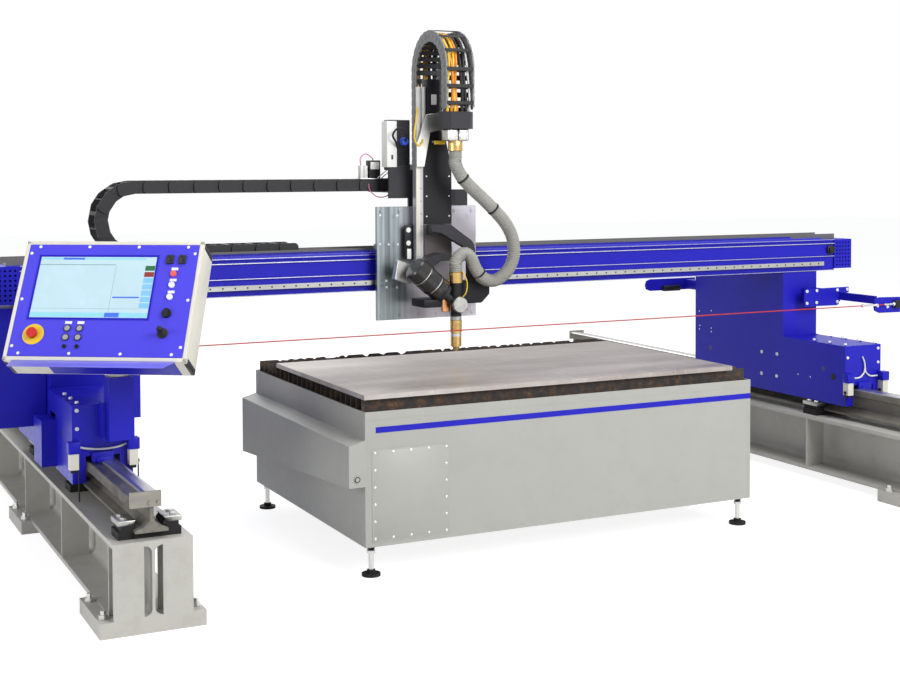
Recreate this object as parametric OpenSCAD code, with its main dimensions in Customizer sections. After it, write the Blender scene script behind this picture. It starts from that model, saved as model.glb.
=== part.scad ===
// CNC plasma cutting table. A gantry runs on two floor tracks over a slatted table, and a carriage
// on its cross beam carries a tilting torch. X runs across the machine, Y away from the operator
// and Z up. The origin is on the floor under the middle of the machine. All lengths are millimetres.

/* [Tracks] */
// Distance between the two rail centres
gauge = 4050; // [3600:10:4400]
// Length of each track beam
track_l = 3700; // [3400:10:4400]
// Height of the blocks under the track beams
foot_h = 45; // [30:1:70]
// Height of the track beams
track_beam_h = 300; // [260:5:340]
// Width of the track beams
track_beam_w = 300; // [280:5:340]
// Thickness of the pads between beam and rail
pad_t = 25; // [15:1:35]
// Height of the rails
rail_h = 149; // [130:1:170]
// Width of the rail heads
rail_head_w = 67; // [60:1:75]
// Width of the rail feet
rail_foot_w = 125; // [110:1:140]

/* [Table] */
// Width of the table casing
table_w = 2000; // [1600:10:2600]
// Depth of the table casing
table_d = 1420; // [1000:10:1700]
// Middle of the table across the machine
table_x = -60; // [-200:10:200]
// Front of the table casing
table_front = -1577; // [-1700:1:-1400]
// Height of the casing floor above the ground
table_low = 130; // [80:5:200]
// Height of the casing rim above the ground
table_top = 700; // [600:5:760]
// Number of slats
slat_count = 23; // [15:1:28]
// Thickness of one slat
slat_t = 6; // [4:1:10]
// Height that the slats stand above the rim
slat_rise = 50; // [30:1:70]
// Width of the sheet being cut
sheet_w = 1900; // [1000:10:1980]
// Depth of the sheet being cut
sheet_d = 1100; // [600:10:1400]
// Thickness of the sheet being cut
sheet_t = 20; // [5:1:30]

/* [Gantry] */
// Length of the cross beam between its end covers
beam_l = 4580; // [4400:10:5000]
// Depth of the cross beam
beam_d = 300; // [240:5:360]
// Height of the cross beam
beam_h = 179; // [160:1:220]
// Underside of the cross beam above the ground
beam_z = 1117; // [1000:1:1250]
// Front of the cross beam
beam_front = -630; // [-700:1:-560]
// Length of each end cover
end_cover_l = 127; // [80:1:180]
// Width of the columns across the machine
column_w = 240; // [235:1:260]
// Depth of the columns
column_d = 836; // [700:1:900]
// Width of the drive housings across the machine
housing_w = 250; // [245:1:280]
// Length of the drive housings in front of the columns
housing_l = 511; // [460:1:560]
// Top of the drive housings above the ground
housing_top = 750; // [700:1:800]
// Lower edge of the housings and columns above the ground
skirt_z = 425; // [420:1:440]
// Sheet thickness of the housings and columns
steel_t = 8; // [5:1:12]
// Radius of the track wheels
wheel_r = 90; // [80:1:95]

/* [Torch carriage] */
// Middle of the carriage plate across the machine
carriage_x = -350; // [-600:10:300]
// Width of the carriage plate
carriage_w = 539; // [480:1:600]
// Lower edge of the carriage plate above the ground
carriage_low = 977; // [950:1:1010]
// Upper edge of the carriage plate above the ground
carriage_top = 1530; // [1500:1:1560]
// Torch axis in front of the cross beam
torch_reach = 260; // [250:1:280]
// Height of the torch tip above the ground
torch_tip_z = 833; // [820:1:860]
// Length of the torch from its tip to its collar
torch_l = 383; // [375:1:390]
// Radius of the torch sleeve
torch_r = 30; // [26:1:32]
// Angle of the tilt axis below the horizontal
tilt_incl = 40; // [35:1:45]
// Outer radius of the torch hose
hose_r = 32; // [26:1:32]
// Number of ribs on the torch hose
hose_ribs = 130; // [60:1:180]

/* [Cable chains] */
// Width of the cross chain
cross_chain_w = 150; // [120:1:160]
// Width of the lift chain
lift_chain_w = 150; // [140:1:180]
// Height of a chain link
link_h = 60; // [50:1:64]
// Links in half a turn of the cross chain
cross_turn_links = 8; // [8:2:12]
// Links in half a turn of the lift chain
lift_turn_links = 13; // [9:2:13]
// Bend radius of the cross chain at the middle of its links
cross_bend_r = 152.5; // [140:0.5:160]
// Bend radius of the lift chain at the middle of its links
lift_bend_r = 170; // [150:1:180]

/* [Operator panel] */
// Width of the panel face
face_w = 714; // [690:1:760]
// Height of the panel face
face_h = 496; // [486:1:540]
// Depth of the panel case
case_d = 145; // [110:1:160]
// Height of the panel's middle above the ground
panel_z = 1195; // [1100:5:1250]
// Turn of the panel towards the operator
panel_yaw = -32.7; // [-40:0.1:-20]
// Lean of the panel back from upright
panel_tilt = 30.8; // [25:0.1:35]

/* [Hidden] */
$fn = 48;

// Clearances
overrun = 1;
run_fit = 0.05;
gap = 0.3;

// Colours
blue = "#1f4fa8";
stone = "#b7b2a2";
pale_grey = "#b4b4b0";
aluminium = "#c4c6c8";
steel = "#8d9094";
dark_steel = "#5a5d60";
black = "#1d1e20";
dark_grey = "#3b3d40";
cream = "#d9d4bc";
brass = "#b9903c";
rust = "#4a3a30";
scale_brown = "#8f7c66";

// Track beams: a rolled wide-flange section with plates between the flanges
web_t = 11;
flange_t = 19;
root_r = 27;
stiff_t = 12;
stiff_in = 36;
stiff_inset = 80;
stiff_count = 5;
rail_x = gauge / 2;
beam_top = foot_h + track_beam_h;
stiff_w = track_beam_w / 2 - stiff_in;
stiff_pitch = (track_l - 2 * stiff_inset) / (stiff_count - 1);

// Track feet
foot_w = 400;
foot_l = 360;
foot_count = 3;
cheek_h = 14;
foot_bolt_r = 11;
foot_bolt_h = 16;
foot_bolt_inset = 60;
cheek_w = (foot_w - track_beam_w) / 2 - gap;
foot_pitch = (track_l - foot_l) / (foot_count - 1);

// Rails
rail_inset = 20;
rail_web_t = 14;
rail_foot_edge = 10.5;
rail_foot_rise = 27;
rail_foot_flat = 30;
rail_neck = 44;
rail_head_h = 51;
rail_chin = 40;
rail_crown = 8;
rail_l = track_l - 2 * rail_inset;
rail_z = beam_top + pad_t;
rail_top = rail_z + rail_h;

// Rail clips
clip_count = 5;
clip_l = 110;
clip_inset = 85;
clip_base_w = 55;
clip_base_h = 30;
clip_reach = 14;
clip_lift = 42;
clip_top = 70;
clip_nose = 52;
clip_shoulder = 20;
clip_pitch = (rail_l - 2 * clip_inset) / (clip_count - 1);
clip_in = rail_foot_w / 2 + 2 * overrun;

// Track racks and pinions
rack_module = 5;
rack_w = 50;
rack_h = 38;
rack_drop = 50;
rack_margin = 20;
pinion_teeth = 16;
pinion_y = -720;
pinion_over = 3;
pinion_shaft_r = 10;
pinion_shaft_l = 40;
backlash = 0.4;
press_angle = 20;
rack_pitch = PI * rack_module;
rack_z = rail_top - rack_drop;
rack_face = rail_head_w / 2 + rack_w;
pinion_r = rack_module * pinion_teeth / 2;
pinion_x = rail_x + rack_face - rack_module + pinion_r;
rack_half = rail_l / 2 - rack_margin;

// End stops
stop_t = 12;
stop_w = 117;
stop_h = 58;
stop_in = 33;
stop_bolt_r = 8;
stop_bolt_h = 7;
stop_bolt_z = 16;
stop_bolt_x = [-22, 10];

// Table
table_t = 4;
table_mid_y = table_front + table_d / 2;
table_back = table_front + table_d;
comb_t = 10;
comb_h = 180;
slat_seat = 80;
slat_edge = 50;
slat_y0 = table_front + slat_edge;
slat_pitch = (table_d - 2 * slat_edge) / (slat_count - 1);
slat_h = slat_seat + slat_rise;
slat_l = table_w - 2 * table_t - 2 * gap;
sheet_x = table_x - table_w / 2 + sheet_w / 2 + 2 * overrun;
sheet_setback = 12;
duct_w = 73;
duct_top = 583;
duct_fall = 20;
duct_front_z = 388;
duct_rear_z = 293;
duct_plug_r = 13;
duct_plug_z = 35;
duct_plug_t = 6;
pad_r = 40;
pad_h = 12;
pad_neck_r = 18;
pad_neck_h = 14;
screw_r = 10;
nut_r = 17;
nut_h = 16;
pad_inset = 42;

// Cross beam: bottom lip, main face and two ridges along its front
lip_h = 8;
ridge_d = 8;
ridge_h = 7;
ridge_shares = [0.46, 0.87];
guide_w = 23;
guide_t = 16;
guide_low = 31;
top_guide_w = 22;
top_guide_t = 10;
top_guide_set = 4;
guide_inset = 90;
beam_top_z = beam_z + beam_h;
beam_back = beam_front + beam_d;
cover_t = 3;
cover_lift = 10;
cover_hole_r = 5;
cover_hole_cols = 5;
cover_hole_rows = 7;
cover_hole_edge = 20;

// Cross rack
cross_module = 4;
cross_rack_d = 25;
cross_rack_h = 20;
cross_rack_set = 30;
cross_rack_half = 2000;
cross_teeth = 16;
cross_pinion_x = -150;
cross_pinion_r = cross_module * cross_teeth / 2;
cross_pitch = PI * cross_module;
cross_rack_y = beam_front + cross_rack_set;
cross_pinion_z = beam_top_z + cross_rack_h - cross_module + cross_pinion_r;

// Chain tray
tray_t = 3;
tray_wall = 30;
tray_side = 10;
tray_half = 2340;
chain_y = -485;
tray_w = cross_chain_w + 2 * tray_side;

// Columns and drive housings
column_in = 100;
column_front = -622;
column_x = rail_x - column_in + column_w / 2;
housing_x = rail_x - column_in + housing_w / 2;
housing_front = column_front - housing_l;
notch_in = 45;
notch_out = 12;
notch_lift = 16;
axle_r = 15;
front_wheel_y = -960;
rear_wheel_y = 60;
wheel_w = 60;
wheel_hub_r = 30;
wheel_hub_w = 76;
wheel_dish_r = 70;
wheel_dish = 16;
wheel_z = rail_top + wheel_r + gap;
top_bolt_r = 6;
top_bolt_h = 4;
top_bolt_inset = 18;
top_bolt_count = 5;

// Drive boxes on the outer sides of the housings
drive_w = 65;
drive_l = 180;
drive_z = 440;
drive_h = 200;
drive_t = 5;
drive_hole_l = 120;
drive_hole_top = 660;
drive_plate_z = 515;
drive_plate_t = 10;
drive_plate_in = 58;
motor_r = 45;
motor_h = 120;
drive_x = rail_x - column_in + housing_w;

// Control cabinet on the left column
cabinet_w = 235;
cabinet_l = 600;
cabinet_h = 530;
cabinet_z = 575;
cabinet_front = -550;
cabinet_r = 8;
cabinet_t = 6;
door_t = 12;
door_inset = 18;
cabinet_x = -(rail_x - column_in + column_w);

// Trip cord, its anchor at the left and its arm and pull switch at the right
cord_r = 3;
cord_y = -1003;
cord_z = 947;
anchor_w = 45;
anchor_d = 40;
anchor_low = 660;
anchor_top = 985;
anchor_set = 17;
anchor_foot_h = 80;
anchor_foot_l = 100;
bracket_t = 8;
bracket_set = 66;
bracket_h = 80;
bracket_low = 940;
bracket_in = 2060;
arm_x = 2272;
arm_t = 12;
arm_h = 45;
arm_low = 950;
arm_end = -986;
tab_t = 8;
tab_h = 52;
switch_w = 84;
switch_d = 34;
switch_h = 40;
eye_l = 22;
eye_r = 6;
buckle_r = 9;
buckle_l = 120;
buckle_gap = 90;
tab_low = cord_z - tab_h / 2;

// Limit switches with feelers at the front of the housings
limit_w = 36;
limit_d = 40;
limit_h = 110;
limit_low = 490;
limit_boss_z = 14;
limit_outer_x = 2156;
limit_inner_x = 1912;
feeler_pin_r = 4;
feeler_hub_r = 8;
feeler_hub_w = 8;
feeler_r = 3;
feeler_outer_l = 150;
feeler_inner_l = 76;
feeler_y = housing_front - limit_d / 2;
feeler_z = limit_low + limit_boss_z;

// Carriage plate, guide blocks and lift guide
plate_t = 20;
plate_set = 40;
block_w = 90;
block_h = 60;
block_xs = [-205, 65];
top_block_h = 40;
plate_back = beam_front - plate_set;
plate_front = plate_back - plate_t;
lift_x = -325;
lift_rail_w = 30;
lift_rail_d = 17;
lift_block_w = 84;
lift_block_d = 28;
lift_block_h = 70;
lift_block_zs = [1290, 1440];
lift_back = plate_front - lift_block_d - gap;
plate_bolt_r = 7;
plate_bolt_h = 5;
plate_bolt_inset = 22;
plate_bolt_cols = 6;

// Boxes on the carriage
gear_w = 80;
gear_h = 90;
gear_lift = 14;
cross_motor_w = 66;
cross_motor_top = 1610;
mast_left = -440;
wing_left = -545;
wing_low = 1570;
mast_right = -215;
mast_t = 15;
mast_low = 1480;
mast_top = 1708;
box_w = 56;
box_d = 60;
box_h = 245;
shelf_t = 6;
shelf_w = 95;
clip_shelf_t = 20;

// Chains: outer and inner links take turns, and their plates lap at each pin
link_t = 8;
link_round = 20;
link_lap = 18;
bar_t = 6;
outer_bar_w = 6;
inner_bar_w = 18;
link_gap = 0.2;
lower_links = 13;
upper_links = 22;
front_limb_links = 4;
rear_limb_links = 12;
cross_link = 2 * cross_bend_r * sin(90 / cross_turn_links);
lift_link = 2 * lift_bend_r * sin(90 / lift_turn_links);
chain_low_z = beam_top_z + tray_t + gap + link_h / 2;
chain_up_z = chain_low_z + 2 * cross_bend_r;
chain_end_x = -439;
bend_x = chain_end_x - upper_links * cross_link - link_lap;
lift_bend_z = 2190;
head_x = -293;
head_y = beam_front - torch_reach;
lift_chain_ahead = 30;
lift_chain_front = head_y - lift_chain_ahead;
lift_bend_y = lift_chain_front + lift_bend_r;
lift_rear_end = lift_bend_z - rear_limb_links * lift_link - link_lap;

// Lift beam and covers
lift_w = 150;
lift_d = 36;
lift_low = 1262;
lift_top = 1850;
lift_motor_left = -377;
lift_motor_w = 66;
lift_motor_top = 2150;
damper_r = 11;
damper_low_x = -417;
damper_pitch = 26;
damper_top = 2110;
lift_strip_w = 40;
cover_low = 1444;
cover_top = 1728;
cover_peak = 1896;
cover_peak_w = 70;
cover_d = 6;
cover_gap = 3;
lift_front = lift_back - lift_d;
cover_front = lift_front - cover_d;

// Cable gland
gland_w = 160;
gland_d = 120;
gland_low = 1905;
gland_top = 1987;
gland_clip_w = 110;
gland_clip_d = 40;
gland_clip_top = lift_bend_z - front_limb_links * lift_link - link_lap - gap;
gland_chamfer = 30;
clamp_w = 113;
clamp_d = 80;
clamp_low = 1847;
fitting_r = 35;
fitting_low = 1799;
gland_arm_w = 60;
gland_arm_h = 40;
gland_arm_low = 1850;

// Head arm: a dark quarter arch that comes down to a black box beside the torch
arch_x = -290;
arch_z = 1308;
arch_out = 139;
arch_in = 83;
arch_y = -850;
arch_d = 40;
arch_left = 95;
head_box_x = -240;
head_box_w = 154;
head_box_low = 1056;
head_box_h = 110;
head_box_d = 50;
head_box_cut = 40;

// Bevel drive and torch
drive_near = 100;
bevel_l = 190;
bevel_r = 62;
bevel_groove = 4;
bevel_groove_w = 6;
bevel_groove_count = 5;
bevel_bracket_x = -470;
bevel_bracket_w = 110;
bevel_bracket_z = 1215;
bevel_bracket_h = 87;
bevel_bracket_d = 80;
flange_r = 48;
hub_t = 16;
torch_arm_r = 20;
collar_r = 33.5;
collar_h = 53;
sleeve_low_share = 0.684;
knob_r = 39;
knob_t = 24;
knob_rise = 228;
knob_z = torch_tip_z + knob_rise;
knob_sides = 12;
knob_neck_r = 12;
knob_off = 32;
ring_r = 27;
ring_h = 36;
nozzle_l = 150;
torch_top = torch_tip_z + torch_l;
sleeve_low = torch_tip_z + torch_l * sleeve_low_share;
core_r = 24;

// Hose route from the gland to the torch collar, across and up
hose_bore = 24;
hose_rib = 3;
hose_steps = 8;
hose_sides = 8;
hose_forward = 10;
hose_lift = gap;
hose_route = [
    [-293, 1799], [-293, 1768], [-293, 1736], [-262, 1676], [-208, 1620], [-146, 1566], [-84, 1509],
    [-28, 1450], [8, 1388], [22, 1325], [14, 1262], [-22, 1204], [-84, 1168],
    [-146, 1180], [-188, 1228], [-212, 1280], [-243, 1304], [-276, 1290], [-293, 1262], [-293, 1240], [-293, 1216],
];

// Operator panel
panel_x = -2073;
panel_y = -1300;
case_edge = 18;
case_r = 16;
case_t = 6;
face_t = 4;
post_x = -1998;
post_y = -1200;
post_w = 100;
post_low = 610;
post_top = 870;
post_plate_w = 130;
post_plate_h = 150;
swivel_r = 42;
swivel_top = 1150;
bracket_w = 140;
bracket_l = 190;
bracket_d = 15;
ledge_d = 46;
ledge_h = 14;
ledge_lip = 20;
screen_x = -55;
screen_y = 56;
screen_w = 488;
screen_h = 273;
bezel_w = 10;
bezel_t = 2;
stop_x = 266;
stop_y = 155;
stop_pos = [-stop_x, -stop_y];
stop_disc_r = 44;
stop_disc_t = 2;
stop_stem_r = 9;
stop_cap_r = 21;
stop_cap_h = 16;
stop_lift = 9;
button_r = 11;
button_h = 6;
button_ring_r = 15;
button_ring_h = 3;
button_depth = 12;
button_right = 79;
button_step_x = 51;
button_upper = 128;
button_step_y = 39;
button_x = [-button_right - button_step_x, -button_right];
button_y = [-button_upper, -button_upper - button_step_y];
toggle_drop = 206;
toggle_right = 77;
toggle_y = -toggle_drop;
toggle_x = [-toggle_right - button_step_x, -toggle_right];
toggle_ball_r = 5;
toggle_r = 2.5;
toggle_l = 18;
toggle_ring_r = 9;
knob_x = 266;
knob_y = 60;
knob_pos = [knob_x, -knob_y];
knob_face_r = 19;
knob_face_h = 16;
knob_stem_r = 5;
joy_x = 263;
joy_y = 146;
joy_pos = [joy_x, -joy_y];
joy_ball_r = 13;
joy_stem_r = 5;
joy_l = 46;
joy_grip_r = 12;
joy_ring_r = 22;
lamp_x = 268;
lamp_low = 13;
lamp_mid = 66;
lamp_high = 116;
lamp_ys = [lamp_high, lamp_mid, lamp_low];
lamp_r = 12;
lamp_h = 7;
socket_left = 245;
socket_step = 51;
socket_xs = [socket_left, socket_left + socket_step];
socket_y = 180;
socket_w = 30;
socket_h = 24;

// The pull switch reaches as far to the right as the panel's ledge does to the left.
ledge_drop = face_h / 2 + case_edge + ledge_h;
switch_right = face_w / 2 * cos(panel_yaw) - panel_x
    - sin(panel_yaw) * (ledge_drop * sin(panel_tilt) + ledge_d * cos(panel_tilt));
switch_left = switch_right - switch_w;

// Draws its children at the right and mirrored at the left.
module both_sides() {
    children();
    mirror([1, 0, 0]) children();
}

// Extrudes an outline drawn in X and Z along Y.
module along_y(l) rotate([90, 0, 0]) linear_extrude(l, center = true) children();

// Extrudes an outline drawn in Y and Z along X.
module along_x(l) rotate([90, 0, 90]) linear_extrude(l, center = true) children();

// A box by its low corner and its size.
module block(low, size) translate(low) cube(size);

// An upright cylinder by its foot.
module upright(foot, r, h, sides = 48) translate(foot) cylinder(r = r, h = h, $fn = sides);

// A rectangle with round corners about its middle.
module round_rect(w, h, r) {
    square([w - 2 * r, h], center = true);
    square([w, h - 2 * r], center = true);
    for (x = [-1, 1], y = [-1, 1]) translate([x * (w / 2 - r), y * (h / 2 - r)]) circle(r);
}

// Half the angle of an involute tooth at radius rho.
function inv(a) = tan(a) * 180 / PI - a;
function tooth_half(rho, base_r, teeth, slack) =
    90 / teeth - slack + inv(press_angle) - (rho > base_r ? inv(acos(base_r / rho)) : 0);

// Outline of a spur gear with a tooth on the +X axis.
function gear_points(m, teeth) = let (
    r = m * teeth / 2,
    base_r = r * cos(press_angle),
    root_r = r - 1.25 * m,
    slack = backlash / 4 / r * 180 / PI,
    radii = [root_r, base_r, (base_r + r) / 2, r, r + m / 2, r + m]
) [
    for (i = [0:teeth - 1], side = [-1, 1], k = [0:len(radii) - 1])
        let (
            rho = radii[side < 0 ? k : len(radii) - 1 - k],
            a = 360 * i / teeth + side * tooth_half(rho, base_r, teeth, slack)
        ) rho * [cos(a), sin(a)]
];

// Toothed edge of a rack: teeth point to +Y, and a tooth space is at phase.
function rack_points(m, depth, half, phase) = let (
    pitch = PI * m,
    flank = tan(press_angle),
    tip = pitch / 4 - backlash / 4 - m * flank,
    root = pitch / 4 - backlash / 4 + 1.25 * m * flank,
    first = ceil((-half - phase) / pitch),
    last = floor((half - phase) / pitch) - 1
) concat(
    [[-half, 0], [-half, depth - 2.25 * m]],
    [
        for (i = [first:last], p = [[-root, -2.25], [-tip, 0], [tip, 0], [root, -2.25]])
            [phase + pitch * (i + 0.5) + p[0], depth + p[1] * m]
    ],
    [[half, depth - 2.25 * m], [half, 0]]
);

module track_profile() {
    for (z = [0, track_beam_h - flange_t])
        translate([-track_beam_w / 2, z]) square([track_beam_w, flange_t]);
    translate([-web_t / 2, 0]) square([web_t, track_beam_h]);
    for (s = [0, 1], t = [0, 1]) translate([0, track_beam_h / 2]) mirror([s, 0]) mirror([0, t])
        translate([web_t / 2, flange_t - track_beam_h / 2]) difference() {
            square(root_r);
            translate([root_r, root_r]) circle(root_r);
        }
}

module track_plate(y) {
    for (s = [-1, 1])
        translate([s * (stiff_in + stiff_w / 2), y, track_beam_h / 2])
            cube([stiff_w, stiff_t, track_beam_h - 2 * flange_t], center = true);
}

module track_beams() color(stone) both_sides() translate([rail_x, 0, foot_h]) {
    along_y(track_l) track_profile();
    for (i = [0:stiff_count - 1]) track_plate(-track_l / 2 + stiff_inset + i * stiff_pitch);
    for (s = [-1, 1]) track_plate(s * (track_l - stiff_t) / 2);
}

module track_feet() color(stone) both_sides()
    for (i = [0:foot_count - 1])
        translate([rail_x, -track_l / 2 + foot_l / 2 + i * foot_pitch, 0]) {
            translate([0, 0, foot_h / 2]) cube([foot_w, foot_l, foot_h], center = true);
            for (s = [-1, 1]) translate([s * (foot_w - cheek_w) / 2, 0, foot_h + cheek_h / 2])
                cube([cheek_w, foot_l, cheek_h], center = true);
            for (s = [-1, 1], t = [-1, 1])
                upright([s * (foot_w - cheek_w) / 2, t * (foot_l / 2 - foot_bolt_inset), foot_h + cheek_h],
                    foot_bolt_r, foot_bolt_h);
        }

module rail_half() polygon([
    [0, 0], [rail_foot_w / 2, 0], [rail_foot_w / 2, rail_foot_edge],
    [rail_foot_flat, rail_foot_rise - rail_foot_edge / 2], [rail_web_t / 2, rail_neck],
    [rail_web_t / 2, rail_h - rail_head_h], [rail_head_w / 2, rail_h - rail_chin],
    [rail_head_w / 2, rail_h - rail_crown], [rail_head_w / 2 - rail_crown, rail_h - rail_crown / 5],
    [rail_head_w / 4, rail_h], [0, rail_h],
]);

module track_rails() color(steel) both_sides() translate([rail_x, 0, rail_z])
    along_y(rail_l) {
        rail_half();
        mirror([1, 0]) rail_half();
    }

module rail_clip_profile() {
    translate([clip_in, 0]) square([clip_base_w, clip_base_h]);
    polygon([
        [clip_in - clip_reach, clip_lift], [clip_in - clip_reach, clip_nose],
        [clip_in + overrun, clip_top], [clip_in + clip_base_w - clip_shoulder, clip_top],
        [clip_in + clip_base_w - clip_shoulder / 2, clip_nose],
        [clip_in + clip_base_w - clip_shoulder / 2, 0], [clip_in, 0], [clip_in, clip_lift],
    ]);
}

module rail_clips() color(dark_grey) both_sides()
    for (i = [0:clip_count - 1])
        translate([rail_x, -rail_l / 2 + clip_inset + i * clip_pitch, beam_top]) {
            translate([0, 0, pad_t / 2]) cube([rail_foot_w, clip_l, pad_t], center = true);
            for (s = [0, 1]) mirror([s, 0, 0]) along_y(clip_l) rail_clip_profile();
        }

module track_racks() color(steel) both_sides()
    translate([rail_x + rail_head_w / 2, 0, rack_z]) mirror([0, 1, 0]) rotate([0, 0, -90])
        linear_extrude(rack_h) polygon(rack_points(rack_module, rack_w, rack_half, pinion_y));

module end_stops() color(pale_grey) both_sides()
    for (s = [0, 1]) mirror([0, s, 0]) translate([rail_x, rail_l / 2, rack_z]) {
        block([-stop_in, 0, 0], [stop_w, stop_t, stop_h]);
        for (x = stop_bolt_x) translate([x, stop_t, stop_bolt_z]) rotate([-90, 0, 0])
            cylinder(r = stop_bolt_r, h = stop_bolt_h, $fn = 6);
    }

module table_casing() color(pale_grey) difference() {
    block([table_x - table_w / 2, table_front, table_low], [table_w, table_d, table_top - table_low]);
    block([table_x - table_w / 2 + table_t, table_front + table_t, table_low + table_t],
        [table_w - 2 * table_t, table_d - 2 * table_t, table_top - table_low]);
}

// The duct tapers along the table and its top slopes outwards. The inset draws its hollow.
module duct_form(inset) intersection() {
    along_x(duct_w - 2 * inset) polygon([
        [table_front + inset, duct_front_z + inset], [table_front + inset, duct_top - inset],
        [table_back - inset, duct_top - inset], [table_back - inset, duct_rear_z + inset],
    ]);
    translate([0, table_mid_y, 0]) along_y(table_d + overrun) polygon([
        [-duct_w / 2, 0], [duct_w / 2, 0], [duct_w / 2, duct_top - inset],
        [-duct_w / 2, duct_top - duct_fall - inset],
    ]);
}

module extraction_duct() color(pale_grey) {
    translate([table_x - table_w / 2 - duct_w / 2, 0, 0]) difference() {
        duct_form(0);
        duct_form(table_t);
    }
    translate([table_x - table_w / 2 - duct_w / 2, table_front, duct_front_z + duct_plug_z])
        rotate([90, 0, 0]) cylinder(r = duct_plug_r, h = duct_plug_t);
}

module table_feet() color(black)
    for (x = [-1, 1], y = [-1, 1])
        translate([table_x + x * (table_w / 2 - pad_inset), table_mid_y + y * (table_d / 2 - pad_inset), 0]) {
            cylinder(r = pad_r, h = pad_h);
            upright([0, 0, pad_h], pad_neck_r, pad_neck_h);
            cylinder(r = screw_r, h = table_low);
            translate([0, 0, table_low - nut_h]) cylinder(r = nut_r, h = nut_h, $fn = 6);
        }

module slat_combs() color(rust)
    for (s = [-1, 1]) difference() {
        translate([table_x + s * (table_w / 2 - table_t - comb_t / 2), table_mid_y, table_top - comb_h / 2])
            cube([comb_t, table_d - 2 * table_t, comb_h], center = true);
        for (i = [0:slat_count - 1])
            translate([table_x + s * (table_w / 2 - table_t - comb_t / 2), slat_y0 + i * slat_pitch, table_top])
                cube([comb_t + 2 * overrun, slat_t + 2 * gap, 2 * slat_seat], center = true);
    }

module slats() color(rust)
    for (i = [0:slat_count - 1])
        translate([table_x, slat_y0 + i * slat_pitch, table_top - slat_seat + slat_h / 2])
            cube([slat_l, slat_t, slat_h], center = true);

module work_plate() color(scale_brown)
    block([sheet_x - sheet_w / 2, table_front + sheet_setback, table_top + slat_rise],
        [sheet_w, sheet_d, sheet_t]);

// Section of the cross beam: a bottom lip, two ridges and a top edge stand proud of the front.
module beam_profile() {
    translate([beam_front + ridge_d, beam_z]) square([beam_d - ridge_d, beam_h]);
    translate([beam_front, beam_z]) square([beam_d, lip_h]);
    translate([beam_front, beam_top_z - lip_h]) square([beam_d, lip_h]);
    for (k = ridge_shares) translate([beam_front, beam_z + k * beam_h - ridge_h / 2])
        square([beam_d / 2, ridge_h]);
}

module cross_beam() color(blue) difference() {
    along_x(beam_l) beam_profile();
    block([-beam_l / 2 - overrun, beam_front + ridge_d + steel_t, beam_z + steel_t],
        [beam_l + 2 * overrun, beam_d - ridge_d - 2 * steel_t, beam_h - 2 * steel_t]);
}

module beam_end_covers() color(blue) both_sides() difference() {
    block([beam_l / 2, beam_front, beam_z + cover_lift], [end_cover_l, beam_d, beam_h - cover_lift]);
    block([beam_l / 2 - overrun, beam_front + cover_t, beam_z + cover_lift + cover_t],
        [end_cover_l - cover_t + overrun, beam_d - 2 * cover_t, beam_h - cover_lift - 2 * cover_t]);
    for (i = [0:cover_hole_cols - 1], j = [0:cover_hole_rows - 1])
        translate([
            beam_l / 2 + cover_hole_edge + i * (end_cover_l - 2 * cover_hole_edge) / (cover_hole_cols - 1),
            beam_front + cover_t + overrun,
            beam_z + cover_lift + cover_hole_edge
                + j * (beam_h - cover_lift - 2 * cover_hole_edge) / (cover_hole_rows - 1)
        ]) rotate([90, 0, 0]) cylinder(r = cover_hole_r, h = cover_t + 2 * overrun, $fn = 16);
}

module cross_rails() color(aluminium) {
    block([-beam_l / 2 + guide_inset, beam_front + ridge_d - guide_t - ridge_d, beam_z + guide_low],
        [beam_l - 2 * guide_inset, guide_t + ridge_d, guide_w]);
    block([-beam_l / 2 + guide_inset, beam_front + top_guide_set, beam_top_z],
        [beam_l - 2 * guide_inset, top_guide_w, top_guide_t]);
    translate([0, cross_rack_y, beam_top_z]) translate([0, cross_rack_d, 0]) rotate([90, 0, 0])
        linear_extrude(cross_rack_d)
            polygon(rack_points(cross_module, cross_rack_h, cross_rack_half, cross_pinion_x));
}

module chain_tray() color(dark_grey) difference() {
    block([-tray_half, chain_y - tray_w / 2, beam_top_z], [2 * tray_half, tray_w, tray_wall]);
    block([-tray_half - overrun, chain_y - tray_w / 2 + tray_t, beam_top_z + tray_t],
        [2 * tray_half + 2 * overrun, tray_w - 2 * tray_t, tray_wall]);
}

// One chain link about its middle. It runs along X, its width is along Y and its height along Z.
module link(pitch, width, outer) {
    out = outer ? width / 2 : width / 2 - link_t - link_gap;
    bar_w = outer ? outer_bar_w : inner_bar_w;
    for (s = [-1, 1])
        translate([0, s * (out - link_t / 2), 0])
            along_y(link_t) round_rect(pitch + 2 * link_lap, link_h, link_round);
    for (s = [-1, 1])
        translate([0, 0, s * (link_h / 2 - bar_t / 2)])
            cube([bar_w, 2 * out - link_t, bar_t], center = true);
}

// A straight run of links along +X from its first pin, which starts with an outer or inner link.
module link_run(count, pitch, width, first)
    for (i = [0:count - 1])
        translate([(i + 0.5) * pitch, 0, 0]) link(pitch, width, (i + first) % 2 == 0);

// Half a turn of links about the origin, from straight above by -X to straight below.
module link_turn(count, pitch, radius, width)
    for (i = [0:count - 1])
        rotate([0, -(i + 0.5) * 180 / count, 0]) translate([0, 0, radius * cos(90 / count)])
            link(pitch, width, i % 2 == 0);

module cross_chain_lower() color(dark_grey)
    translate([bend_x, chain_y, chain_low_z])
        link_run(lower_links, cross_link, cross_chain_w, cross_turn_links);

module cross_chain_bend() color(dark_grey)
    translate([bend_x, chain_y, chain_low_z + cross_bend_r])
        link_turn(cross_turn_links, cross_link, cross_bend_r, cross_chain_w);

module cross_chain_upper() color(dark_grey)
    translate([bend_x, chain_y, chain_up_z])
        link_run(upper_links, cross_link, cross_chain_w, 1);

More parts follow.
